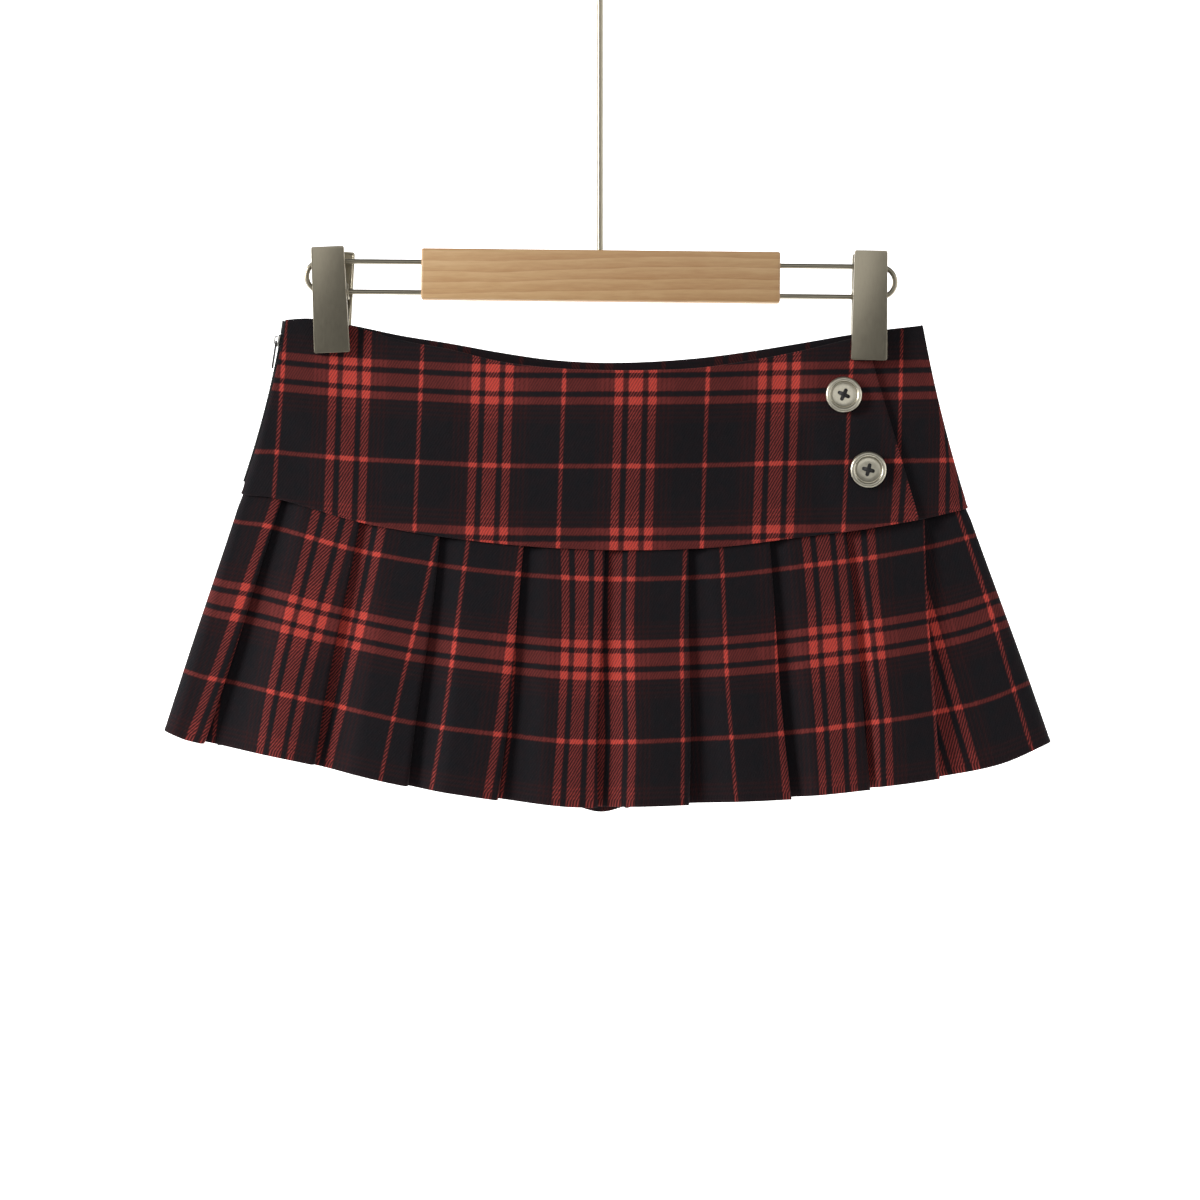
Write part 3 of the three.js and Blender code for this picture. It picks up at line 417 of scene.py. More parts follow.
def stripes(axis, repeat, edges):
    """How red the threads of one set are, from 0 to 1, by their distance from a group's middle."""
    half = repeat / 2
    wobble = add_noise(plaid_tree, cloth_place.outputs["UV"], 0.45, 2.0, flat=True)
    shaken = maths(plaid_tree, "MULTIPLY_ADD", wobble, 0.7, -0.35)
    moved = maths(plaid_tree, "ADD", axis, shaken)
    away = maths(plaid_tree, "PINGPONG", moved, half)
    share = maths(plaid_tree, "DIVIDE", away, half)
    solid = add_node(plaid_tree, "ShaderNodeValToRGB", inputs={"Fac": share})
    ramp = solid.color_ramp
    stops = [(0.0, 1.0)]
    level = 1.0
    for distance, next_level in edges:
        stops += [(distance - STRIPE_BLUR, level), (distance + STRIPE_BLUR, next_level)]
        level = next_level
    ramp.elements[0].position = 0.0
    ramp.elements[0].color = (1, 1, 1, 1)
    ramp.elements[1].position = 1.0
    ramp.elements[1].color = (level, level, level, 1)
    for place, value in stops[1:]:
        ramp.elements.new(min(place / half, 0.9999)).color = (value, value, value, 1)
    between = maths(plaid_tree, "PINGPONG", axis, FINE_PITCH / 2)
    alternate = maths(plaid_tree, "MULTIPLY_ADD", between, -2 / FINE_PITCH, 1.0)
    in_fine = add_node(
        plaid_tree,
        "ShaderNodeMapRange",
        {"interpolation_type": "SMOOTHSTEP"},
        {
            "Value": away,
            "From Min": FINE_REACH[0],
            "From Max": FINE_REACH[1],
            "To Min": 1.0,
            "To Max": 0.0,
        },
    ).outputs["Result"]
    past_thin = maths(plaid_tree, "GREATER_THAN", away, edges[2][0] + 0.4)
    fine = maths(plaid_tree, "MULTIPLY", maths(plaid_tree, "MULTIPLY", in_fine, past_thin), alternate)
    return maths(plaid_tree, "MULTIPLY_ADD", fine, FINE_STRENGTH, solid.outputs["Color"])


warp_red = stripes(
    cloth_axes.outputs["X"], WARP_REPEAT, [(3.85, 0.0), (6.9, 1.0), (11.55, 0.0), (38.2, 1.0)]
)
weft_red = stripes(
    cloth_axes.outputs["Y"], WEFT_REPEAT, [(3.7, 0.0), (6.6, 1.0), (11.0, 0.0), (43.4, 1.0)]
)

# Twill lines climb to the right. Warp shows them crisply, and the brushed weft more softly.
diagonal = maths(
    plaid_tree, "MULTIPLY_ADD", cloth_axes.outputs["Y"], TWILL_SLOPE, cloth_axes.outputs["X"]
)
fibres = add_noise(plaid_tree, cloth_place.outputs["UV"], 0.5, 3.0, 0.6, flat=True)
stray = maths(plaid_tree, "MULTIPLY_ADD", fibres, 0.8, -0.4)
rib_place = maths(plaid_tree, "ADD", diagonal, stray)
phase = maths(plaid_tree, "MULTIPLY", rib_place, 2 * math.pi / TWILL_PITCH)
wave = maths(plaid_tree, "SINE", phase)
crisp = maths(plaid_tree, "MULTIPLY_ADD", wave, 0.27, 0.47)
soft = maths(plaid_tree, "MULTIPLY_ADD", wave, 0.06, 0.5)
from_warp = maths(plaid_tree, "MULTIPLY", warp_red, crisp)
from_weft = maths(plaid_tree, "MULTIPLY", weft_red, maths(plaid_tree, "SUBTRACT", 1.0, soft))
redness = maths(plaid_tree, "ADD", from_warp, from_weft)
mottle = add_noise(plaid_tree, cloth_place.outputs["UV"], 0.16, 5.0, 0.65, flat=True)
mottled = maths(plaid_tree, "MULTIPLY_ADD", mottle, 0.1, -0.03)

# Painted shade: the cloth's inward face, which lies in shade inside the skirt, keeps only 0.45 of its red
inward_painted_shade = add_node(plaid_tree, "ShaderNodeAttribute", {"attribute_name": "inward_painted_shade"})
unshaded_share = maths(plaid_tree, "MULTIPLY_ADD", inward_painted_shade.outputs["Fac"], -0.55, 1.0)
shade_dimmed_red = maths(plaid_tree, "MULTIPLY", redness, unshaded_share)
plaid_colour = add_ramp(
    plaid_tree,
    maths(plaid_tree, "ADD", shade_dimmed_red, mottled),
    (0, "#131317"),
    (0.25, "#311415"),
    (0.5, "#542220"),
    (0.75, "#883633"),
    (1, "#ce493d"),
)

# Short brushed fibres stand up all over, so the surface is matt with a faint dusty sheen
nap = add_noise(plaid_tree, object_place.outputs["Object"], 900.0, 2.0)
weave_height = maths(plaid_tree, "MULTIPLY_ADD", wave, 0.35, nap)
weave_bump = add_node(
    plaid_tree,
    "ShaderNodeBump",
    inputs={"Strength": 0.35, "Distance": 0.0004, "Height": weave_height},
)
surface_at(
    plaid_tree,
    plaid_surface,
    {
        "Base Color": plaid_colour,
        "Roughness": 0.92,
        "Specular IOR Level": 0.18,
        "Sheen Weight": 0.05,
        "Sheen Roughness": 0.5,
        "Sheen Tint": linear("#d9c9c6"),
        "Normal": weave_bump.outputs["Normal"],
    },
)

# Where the plaid's lines lie on the yoke: the drop of a wide weft stripe, and how the warp leans
YOKE_STRIPE = np.array(
    [
        (-181.5, 66.4),
        (-142.5, 69.9),
        (-99.6, 72.3),
        (-60.5, 74.1),
        (0.0, 74.6),
        (56.1, 74.1),
        (96.8, 73.0),
        (134.8, 72.3),
        (162.3, 71.6),
        (189.8, 71.1),
    ]
)
LEAN_LEVEL = 69.3  # the warp leans about this drop
WARP_LEAN = np.array(
    [
        (-200, 0.07),
        (-172, 0.065),
        (-150, 0.03),
        (-130, 0.03),
        (-100, 0.04),
        (-60, 0.036),
        (-20, 0.037),
        (35, 0.028),
        (66, 0.042),
        (95, 0.043),
        (135, 0.055),
        (165, 0.09),
    ]
)
FRONT_SHIFT = 19.8
ZIP_EASE = (2.3, 150, 175)  # how much the cloth is eased to the left near the zip, from and to where
SIDE_LINE = 165.5  # the single warp line beside the wrap
SIDE_STRETCH = 1.27
SIDE_LEAN = 0.03
BACK_SHIFT = 4.4
stripe_drop = curve_through(YOKE_STRIPE, 1)

FRONT_CREASES = [
    # from x and drop to x and drop, width, and height outwards
    (-134, 62, -60, 108, 11, 0.7),
    (-128, 50, -20, 82, 8, 0.55),
    (-141, 78, -118, 140, 9, -0.5),
    (-100, 96, -92, 148, 16, 0.6),
    (-50, 70, -44, 150, 20, -0.6),
    (12, 72, 6, 152, 24, 0.7),
    (64, 74, 60, 150, 18, -0.5),
    (122, 60, 30, 92, 9, 0.6),
    (126, 74, 84, 128, 10, 0.55),
    (110, 118, 150, 146, 9, -0.4),
    (-186, 84, -160, 128, 9, -0.6),
]
SIDE_CREASES = [(172, 66, 186, 128, 7, 0.5), (168, 96, 198, 112, 6, -0.35)]
BACK_CREASES = [
    (-136, 60, -52, 104, 12, 0.7),
    (-120, 52, -12, 76, 8, 0.45),
    (-96, 88, -104, 144, 17, -0.6),
    (-38, 66, -30, 150, 22, 0.6),
    (34, 68, 40, 152, 19, -0.55),
    (130, 58, 60, 98, 10, 0.65),
    (138, 80, 118, 140, 12, 0.5),
    (182, 74, 168, 130, 10, -0.6),
]


def leaning(x, drop):
    return x + np.interp(x, WARP_LEAN[:, 0], WARP_LEAN[:, 1]) * (drop - LEAN_LEVEL)


def front_warp(x, drop):
    """The place across the flat cloth. Near the zip the cloth is eased to the left."""
    ease, start, end = ZIP_EASE
    return leaning(x, drop) - FRONT_SHIFT - ease * smoothstep(-x, start, end)


def side_warp(x, drop):
    stretch = np.where(x > SIDE_LINE, SIDE_STRETCH, 1)
    return WARP_REPEAT / 2 + (x - SIDE_LINE) * stretch + SIDE_LEAN * (drop - LEAN_LEVEL)


def back_warp(x, drop):
    return -leaning(x, drop) - BACK_SHIFT


def yoke_panel(name, side, x_of, turns, ends, lift, creases, stripe_shift, warp_at):
    """A yoke panel's shell. x_of gives each column's x at a, turns its angle round a side seam
    (90 is facing out), ends which side seam that is, and warp_at the place across the flat cloth."""
    rows = 58
    a = np.linspace(0, 1, rows)[:, None]
    turn = np.radians(np.asarray(turns, float))[None, :]
    end = np.asarray(ends, float)[None, :]
    straight = x_of(a)
    x = straight - end * yoke_corner(a) * (1 - np.cos(turn))
    z = yoke_height(side, x, a)
    drop = LEVEL - z
    relief = crease(x, drop, creases) * smoothstep(a, 0, 0.12) * (1 - smoothstep(a, 0.88, 1))
    depth = yoke_depth(side, x, a) + lift(x, a) + relief + YOKE_EDGE[0] * smoothstep(a, 0.9, 1)
    half = YOKE_CLOTH / 2
    y = OUTWARD[side] * (half + (depth - half) * np.sin(turn))
    middle_x = x - end * half * np.cos(turn)
    middle_y = y - OUTWARD[side] * half * np.sin(turn)
    middle = np.stack([middle_x, middle_y, z + np.zeros_like(x)], -1)
    # The shell's rims stand out by half the cloth, so the grid ends that much earlier
    middle[0, :, 2] -= half
    middle[-1, :, 2] += half
    middle[:, :, 2] -= YOKE_EDGE[1] * smoothstep(a, 0.94, 1)
    round_seam = end * (math.pi / 2 - 1) * (1 - turn / (math.pi / 2)) * yoke_corner(a)
    across = warp_at(x + round_seam, drop)
    down = drop - stripe_drop(x) + stripe_shift
    fabric = np.stack([across, down], -1)
    thickness = YOKE_CLOTH - YOKE_PRESSED
    return cloth_shell(name, middle, thickness, fabric, plaid, inside_out=side == "back")


def no_lift(x, a):
    return 0


def spread_between(left_of, right_of, count):
    """The x of evenly spaced columns between two edges that move with a."""
    shares = np.linspace(0, 1, count)[None, :]
    return lambda a: lerp(left_of(a), right_of(a), shares)


def panel_columns(left_of, right_of, count, left_corner, right_corner):
    """Columns from one edge to the other, with the turn round a side seam added at either end."""
    turns = [0, 18, 36, 54, 72]
    left_count = len(turns) if left_corner else 0
    right_count = len(turns) if right_corner else 0
    middle_of = spread_between(left_of, right_of, count)

    def x_of(a):
        left = np.repeat(yoke_left(a), left_count, axis=1)
        right = np.repeat(yoke_right(a), right_count, axis=1)
        return np.concatenate([left, middle_of(a), right], axis=1)

    all_turns = turns[:left_count] + [90] * count + turns[:right_count][::-1]
    ends = [-1] * left_count + [0] * count + [1] * right_count
    return x_of, all_turns, ends


def face_left(a):
    return yoke_left(a) + yoke_corner(a)


def face_right(a):
    return yoke_right(a) - yoke_corner(a)


def wrap_edge_inset(a):
    return wrap_edge(a) - YOKE_CLOTH / 2


def under_wrap(a):
    return wrap_edge(a) - WRAP_UNDER


front_columns = panel_columns(face_left, wrap_edge_inset, 172, True, False)
front_yoke = yoke_panel(
    "front_yoke_cloth", "front", *front_columns, wrap_lift, FRONT_CREASES, 0, front_warp
)
side_columns = panel_columns(under_wrap, face_right, 40, False, True)
side_front = yoke_panel(
    "side_front_yoke_cloth", "front", *side_columns, no_lift, SIDE_CREASES, 0, side_warp
)
back_columns = panel_columns(face_left, face_right, 190, True, True)
back_yoke = yoke_panel(
    "back_yoke_cloth", "back", *back_columns, no_lift, BACK_CREASES, -4.6, back_warp
)
for piece, node in (
    (front_yoke, "front_yoke"),
    (side_front, "side_front_yoke"),
    (back_yoke, "back_yoke"),
):
    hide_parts(node)


# Flounce: one ply of the same flannel in eighteen knife pleats, all pressed to the same hand, sewn
# under the yoke and turned up at the hem. It is two strips, which join under the fold before the
# first pleat of each. b is the share of the way down, and s runs round the skirt in millimetres.
FLOUNCE_CLOTH = 1.1
FLOUNCE_LEFT = (-196.4, -238.2)
FLOUNCE_RIGHT = (201.4, 246.9)
FLOUNCE_CORNER = (4.0, 7.5)
FLOUNCE_BOW = {"front": (8, 16), "back": (6.5, 14)}
LAYER_GAP = (0.35, 1.6)
PLEAT_DEPTH = 29
FRONT_FOLDS = [
    (-175.1, -217.4),
    (-131.9, -156.4),
    (-88.1, -105.2),
    (-42.2, -56.1),
    (2.2, -1.8),
    (48.1, 48.1),
    (92.5, 104.1),
    (134.1, 147.2),
    (177.6, 185.4),
]
BACK_FIRST = (180.4, 239.0)
BACK_LAST = (-172.0, -211.0)
BACK_COUNT = 9
HEM = np.array(
    [
        # x, front drop, back drop
        (-238.2, 263.8, 264.0),
        (-228.0, 267.9, 267.7),
        (-217.4, 270.2, 270.0),
        (-192.0, 275.4, 274.0),
        (-153.9, 283.2, 281.0),
        (-105.2, 294.2, 292.0),
        (-56.1, 300.8, 299.5),
        (-20.0, 304.8, 304.6),
        (0.0, 305.2, 310.0),
        (18.0, 305.0, 306.0),
        (35.0, 304.3, 303.2),
        (104.1, 300.4, 298.0),
        (147.2, 295.4, 293.0),
        (186.9, 289.6, 287.0),
        (220.0, 282.2, 280.0),
        (246.9, 269.8, 269.8),
    ]
)
hem_drop = {"front": curve_through(HEM, 1), "back": curve_through(HEM, 2)}
PLEATS = len(FRONT_FOLDS) + BACK_COUNT
REST = 1.0
NODE_CUT = 3.0

# The flat cloth's place at each outer fold: at the seam, at the hem, and how far it bows between
FOLD_CLOTH = [
    (-7.0, -1.3, 0.0),
    (92.95, 102.5, 0.0),
    (197.7, 211.5, 1.4),
    (305.2, 311.1, 0.0),
    (405.55, 406.4, -1.2),
    (512.6, 514.9, 1.8),
    (616.0, 622.7, 0.0),
    (720.15, 726.65, 0.0),
    (825.0, 826.9, 0.0),
    (935.5, 931.0, 0.0),
    (1038.5, 1042.0, 0.0),
    (1143.6, 1149.0, 0.0),
    (1246.0, 1250.2, 0.0),
    (1351.8, 1355.6, 0.0),
    (1456.9, 1461.8, 0.0),
    (1560.0, 1565.2, 0.0),
    (1665.3, 1669.0, 0.0),
    (1769.6, 1775.2, 0.0),
]
# How much wider than its place the cloth of a pleat's face is, where the pleats fan out
PULL_SHARES = (0, 0.45, 0.74, 1)
FACE_PULL = {
    1: (1, 1.02, 1.06, 1.11),
    2: (1, 1.05, 1.064, 1.02),
    4: (1, 1.08, 1.08, 1.0),
    5: (1.035, 1.08, 1.1, 1.07),
    6: (1, 1.04, 1.09, 1.1),
    7: (1, 1.0, 1.08, 1.09),
    8: (1, 1.106, 1.16, 1.14),
}
NO_PULL = (1, 1, 1, 1)


class FlounceLoop:
    """The middle line of the flounce's top layer at one height, as a closed loop seen from above."""

    def __init__(self, b):
        self.b = b
        self.left = lerp(*FLOUNCE_LEFT, b)
        self.right = lerp(*FLOUNCE_RIGHT, b)
        corner = lerp(*FLOUNCE_CORNER, b)
        turn = np.arange(24) / 24
        face = np.arange(160) / 160

        def round_corner(centre, start, end):
            angle = np.radians(lerp(start, end, turn))
            return np.stack([centre + corner * np.cos(angle), corner * np.sin(angle)], -1)

        def flat_face(side, start, end):
            across = lerp(-1, 1, face)
            y = OUTWARD[side] * (corner + lerp(*FLOUNCE_BOW[side], b) * (1 - across**2))
            return np.stack([lerp(start, end, face), y], -1)

        inner_left = self.left + corner
        inner_right = self.right - corner
        self.points = np.concatenate(
            [
                round_corner(inner_left, 180, 270),
                flat_face("front", inner_left, inner_right),
                round_corner(inner_right, 270, 360),
                round_corner(inner_right, 0, 90),
                flat_face("back", inner_right, inner_left),
                round_corner(inner_left, 90, 180),
            ]
        )
        ahead = np.roll(self.points, -1, axis=0) - self.points
        behind = self.points - np.roll(self.points, 1, axis=0)
        length = np.linalg.norm(ahead, axis=1)
        turned = np.abs(ahead[:, 0] * behind[:, 1] - ahead[:, 1] * behind[:, 0])
        angle = np.arcsin(np.minimum(1, turned / (length * np.linalg.norm(behind, axis=1))))
        self.lengths = np.concatenate([[0], np.cumsum(length)])
        self.steps = np.concatenate([[0], np.cumsum(length / 8 + angle / np.radians(15))])
        self.total = self.lengths[-1]
        count = len(self.points)
        way = np.roll(self.points, -2, axis=0) - np.roll(self.points, 2, axis=0)
        way /= np.linalg.norm(way, axis=1, keepdims=True)
        self.indices = np.arange(count + 1)
        self.closed = np.vstack([self.points, self.points[:1]])
        self.ways = np.vstack([way, way[:1]])

    def at(self, s, depth):
        """Places at s, moved inward by depth, with the way of travel and the middle there."""
        place = np.interp(np.mod(s, self.total), self.lengths, self.indices)
        middle = np.stack([np.interp(place, self.indices, self.closed[:, k]) for k in (0, 1)], -1)
        along = np.stack([np.interp(place, self.indices, self.ways[:, k]) for k in (0, 1)], -1)
        along /= np.linalg.norm(along, axis=-1, keepdims=True)
        inward = np.stack([-along[..., 1], along[..., 0]], -1)
        return middle + inward * np.asarray(depth)[..., None], along, middle

    def height_of(self, middle):
        share = np.clip((middle[..., 0] - self.left) / (self.right - self.left), 0, 1)
        top = seam_drop(lerp(FLOUNCE_LEFT[0], FLOUNCE_RIGHT[0], share)) + SEAM_GAP
        hem_x = lerp(FLOUNCE_LEFT[1], FLOUNCE_RIGHT[1], share)
        hem = np.where(middle[..., 1] < 0, hem_drop["front"](hem_x), hem_drop["back"](hem_x))
        return LEVEL - lerp(top, hem, self.b)

    def s_at(self, side, x):
        here = self.closed[:-1]
        after = self.closed[1:]
        hits = (here[:, 1] * OUTWARD[side] > 0) & ((here[:, 0] - x) * (after[:, 0] - x) <= 0)
        k = np.nonzero(hits)[0][0]
        share = (x - here[k, 0]) / (after[k, 0] - here[k, 0])
        return lerp(self.lengths[k], self.lengths[k + 1], share)

    def spread(self, start, end, count):
        """s values from one place to another, close together where the loop turns."""

        def steps_at(s):
            laps = math.floor(s / self.total)
            return laps * self.steps[-1] + np.interp(s - laps * self.total, self.lengths, self.steps)

        marks = np.linspace(steps_at(start), steps_at(end), count + 1)
        laps = np.floor(marks / self.steps[-1])
        return laps * self.total + np.interp(marks - laps * self.steps[-1], self.steps, self.lengths)


def fold_places(loop):
    front = [loop.s_at("front", lerp(*fold, loop.b)) for fold in FRONT_FOLDS]
    back = []
    for k in range(BACK_COUNT):
        share = k / (BACK_COUNT - 1)
        x = lerp(lerp(BACK_FIRST[0], BACK_LAST[0], share), lerp(BACK_FIRST[1], BACK_LAST[1], share), loop.b)
        back.append(loop.s_at("back", x))
    return front + back


def fold_at(folds, total, index):
    laps = index // PLEATS
    return folds[index - laps * PLEATS] + laps * total


seam_loop = FlounceLoop(0)
seam_folds = fold_places(seam_loop)

# How each pleat differs from its neighbours
PLEAT_HABITS = [
    # sideways halfway down, sideways near the hem, swell of the face, drop of the fold at the hem
    (0.8, -0.5, 0.9, 2.0),
    (-0.9, 0.6, 1.4, 0.1),
    (0.5, 0.9, 1.0, 0.1),
    (1.0, -0.4, 1.6, 1.4),
    (-0.7, 0.8, 0.8, 0.5),
    (0.6, -0.9, 1.3, 0.9),
    (-1.0, 0.5, 1.1, 1.2),
    (0.9, 0.7, 1.5, 1.1),
    (-0.6, -0.8, 1.2, 0.5),
    (0.7, 0.5, 0.9, 1.4),
    (-0.8, 0.9, 1.4, 2.3),
    (1.0, -0.6, 1.0, 1.5),
    (-0.5, 0.7, 1.5, 2.6),
    (0.8, 0.8, 1.1, 1.8),
    (-0.9, -0.5, 0.8, 1.2),
    (0.6, 0.9, 1.3, 2.4),
    (-0.7, 0.6, 1.2, 1.6),
    (0.9, -0.7, 1.0, 2.0),
]
LOW_SHARE = 0.65  # of a pleat's drop at the hem, how much is below the row's own height
UNEVEN_FROM = 0.72  # pleats hang unevenly from this share of the way down
TUCKED_RISE = 0.8  # the hidden layers' hem lies this much higher than the visible one
STRETCHES = {"rise": 22, "top": 16, "fold": 7, "middle": 9, "bottom": 9}
CORNER_STRETCHES = {"rise": 24, "top": 30, "fold": 7, "middle": 26, "bottom": 26}
CORNER_PLEATS = (0, len(FRONT_FOLDS))


def strip_row(first, last, b, raised, sunk):
    """The middle line of a strip of pleats at one height, and each point's place in the flat cloth.
    The row may be raised above its place and sunk inward, as where it is sewn in under the yoke."""
    loop = FlounceLoop(b)
    folds = fold_places(loop)
    sway = math.sin(math.pi * b)
    for k, (halfway, low, _, _) in enumerate(PLEAT_HABITS):
        folds[k] += halfway * sway + low * math.sin(2 * math.pi * b) * 0.6
    radius = (FLOUNCE_CLOTH + lerp(*LAYER_GAP, b)) / 2
    points = []
    cloth = []

    def add(s, depth, across, hang):
        spot, _, middle = loop.at(s, depth + sunk)
        points.append(np.column_stack([spot, loop.height_of(middle) + raised - hang]))
        cloth.append(np.broadcast_to(across, s.shape))

    def add_fold(s, depth, ahead, steps, across, hang):
        spot, along, middle = loop.at(np.array([s]), np.array([depth + sunk]))
        angle = np.pi * np.arange(1, steps) / steps
        forward = (ahead * radius * np.sin(angle))[:, None]
        outer = (radius * np.cos(angle))[:, None]
        right = np.array([[along[0, 1], -along[0, 0]]])
        places = spot + along * forward + right * outer
        height = np.full((steps - 1, 1), loop.height_of(middle)[0] + raised - hang)
        points.append(np.hstack([places, height]))
        cloth.append(across)

    def cloth_at_fold(index):
        laps = index // PLEATS
        seam, hem, bow = FOLD_CLOTH[index - laps * PLEATS]
        return lerp(seam, hem, b) + bow * sway + laps * (24 * WARP_REPEAT)

    def pull_at(pleat):
        return np.interp(b, PULL_SHARES, FACE_PULL.get(pleat % PLEATS, NO_PULL))

    def hang_at(pleat, share):
        """How much lower a pleat hangs than its row, from 0 at its face's start to 1 at its fold."""
        return PLEAT_HABITS[pleat % PLEATS][3] * smoothstep(b, UNEVEN_FROM, 1) * (share - 1 + LOW_SHARE)

    before = fold_at(folds, loop.total, first - 1)
    fold = fold_at(folds, loop.total, first)
    start_cloth = cloth_at_fold(first) - (fold - before) * pull_at(first)
    add(np.array([before - NODE_CUT]), np.array([4 * radius]), start_cloth - NODE_CUT, hang_at(first, 0))
    for pleat in range(first, last + 1):
        stretch = CORNER_STRETCHES if pleat in CORNER_PLEATS else STRETCHES
        before = fold_at(folds, loop.total, pleat - 1)
        fold = fold_at(folds, loop.total, pleat)
        at_seam = fold_at(seam_folds, seam_loop.total, pleat) - fold_at(
            seam_folds, seam_loop.total, pleat - 1
        )
        depth = PLEAT_DEPTH + (at_seam - (fold - before)) / 2
        hidden = fold - depth
        swell = PLEAT_HABITS[pleat % PLEATS][2] * smoothstep(b, 0.08, 0.75)
        at_fold = cloth_at_fold(pleat)
        pull = pull_at(pleat)
        lowest = hang_at(pleat, 1)
        hidden_share = (hidden - before) / (fold - before)
        tucked = hang_at(pleat, hidden_share) - TUCKED_RISE * smoothstep(b, UNEVEN_FROM, 1)

        rise = loop.spread(before + REST, hidden, stretch["rise"])
        share = (rise - before) / (fold - before)
        risen = smoothstep(rise, before + REST, hidden)
        depth_here = 4 * radius * (1 - risen) - np.sin(np.pi * share) * swell * risen
        add(rise, depth_here, at_fold - (fold - rise) * pull, hang_at(pleat, share))
        top = loop.spread(hidden, fold - radius, stretch["top"])[1:]
        share = (top - before) / (fold - before)
        swollen = -np.sin(np.pi * share) * swell
        add(top, swollen, at_fold - (fold - top) * pull, hang_at(pleat, share))
        turn = np.arange(1, stretch["fold"]) / stretch["fold"]
        bend = math.pi * radius
        add_fold(fold - radius, radius, 1, stretch["fold"], at_fold - radius + bend * turn, lowest)

        # The cloth that lies hidden joins one visible face to the next
        following = at_fold + bend - radius
        next_fold = fold_at(folds, loop.total, pleat + 1)
        next_face = cloth_at_fold(pleat + 1) - (next_fold - fold) * pull_at(pleat + 1)
        unseen = next_face - following
        run = fold - hidden - 2 * radius
        whole = 2 * run + bend
        middle = loop.spread(fold - radius, hidden + radius, stretch["middle"])
        add(
            middle,
            np.full_like(middle, 2 * radius),
            following + unseen * (fold - radius - middle) / whole,
            lerp(lowest, tucked, (fold - radius - middle) / run),
        )
        add_fold(
            hidden + radius,
            3 * radius,
            -1,
            stretch["fold"],
            following + unseen * (run + bend * turn) / whole,
            tucked,
        )
        end = fold - NODE_CUT - SEAM_GAP if pleat == last else fold + REST
        bottom = loop.spread(hidden + radius, end, stretch["bottom"])
        if pleat < last:
            bottom = bottom[:-1]
        add(
            bottom,
            np.full_like(bottom, 4 * radius),
            following + unseen * (run + bend + bottom - hidden - radius) / whole,
            lerp(tucked, hang_at(pleat + 1, 0), (bottom - hidden) / (fold + REST - hidden)),
        )
    return np.vstack(points), np.concatenate(cloth)


FLOUNCE_ROWS = 44
FLOUNCE_LENGTH = 141.0
WIDE_WEFT = 60.8  # the wide stripe's middle lies this far below the seam
HEM_WEFT = 77.4  # the hem is turned up just above the next thin stripe
SEAM_ALLOWANCE = [(7.0, 1.15), (4.0, 1.15), (1.5, 0.95)]  # rows above the seam: raised, and sunk
SEAM_SUNK = 0.5
TURNED_UP = (0.83, 0.86)  # the turned-up hem's upper edge, as shares of the way down
FLOUNCE_PRESSED = 0.25  # the dressed cloth is thinner than its solid by this much
HEM_PLY = 0.2


def flounce_strip(name, first, last):
    shares = np.linspace(0, 1, FLOUNCE_ROWS)
    places = [(0, raised, sunk) for raised, sunk in SEAM_ALLOWANCE]
    places += [(b, 0, SEAM_SUNK * (1 - smoothstep(b, 0, 0.06))) for b in shares]
    rows = []
    fabric = []
    for b, raised, sunk in places:
        points, across = strip_row(first, last, b, raised, sunk)
        rows.append(points)
        down = min(b * FLOUNCE_LENGTH - raised - WIDE_WEFT, HEM_WEFT)
        fabric.append(np.stack([across, np.full_like(across, down)], -1))
    middle = np.array(rows)
    # The turned-up hem is a second ply inside, so the last 22 mm are thicker
    turned_up = smoothstep(np.array([b for b, _, _ in places]), *TURNED_UP)[:, None]
    thickness = np.full(middle.shape[:2], FLOUNCE_CLOTH - FLOUNCE_PRESSED) + HEM_PLY * turned_up
    half = thickness[0, 0] / 2
    middle[0, :, 2] -= half
    middle[-1, :, 2] += half
    return cloth_shell(name, middle, thickness, np.array(fabric), plaid)


front_flounce = flounce_strip("front_flounce_cloth", 0, 8)
back_flounce = flounce_strip("back_flounce_cloth", 9, 17)
for piece, node, yoke in (
    (front_flounce, "front_flounce", front_yoke),
    (back_flounce, "back_flounce", back_yoke),
):
    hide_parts(node)


# Buttons: turned brass, satin-nickel plated, with a rolled rim, a sunk middle and four holes. Each
# is sewn flat on the wrap with black polyester thread in a cross, through both plies.
def skinned_material(name, scale, detail, dark, light, inputs, rough=None, bump=None):
    """A material whose tone follows a fine noise. rough is a gain and a base for its roughness,
    and bump a strength and a distance, where these follow the noise too."""
    material, tree, surface = new_material(name)
    place = add_node(tree, "ShaderNodeTexCoord")
    skin = add_noise(tree, place.outputs["Object"], scale, detail)
    inputs = {"Base Color": add_ramp(tree, skin, (0, dark), (1, light)), **inputs}
    if rough:
        inputs["Roughness"] = maths(tree, "MULTIPLY_ADD", skin, *rough)
    if bump:
        relief = {"Strength": bump[0], "Distance": bump[1], "Height": skin}
        inputs["Normal"] = add_node(tree, "ShaderNodeBump", inputs=relief).outputs["Normal"]
    surface_at(tree, surface, inputs)
    return material


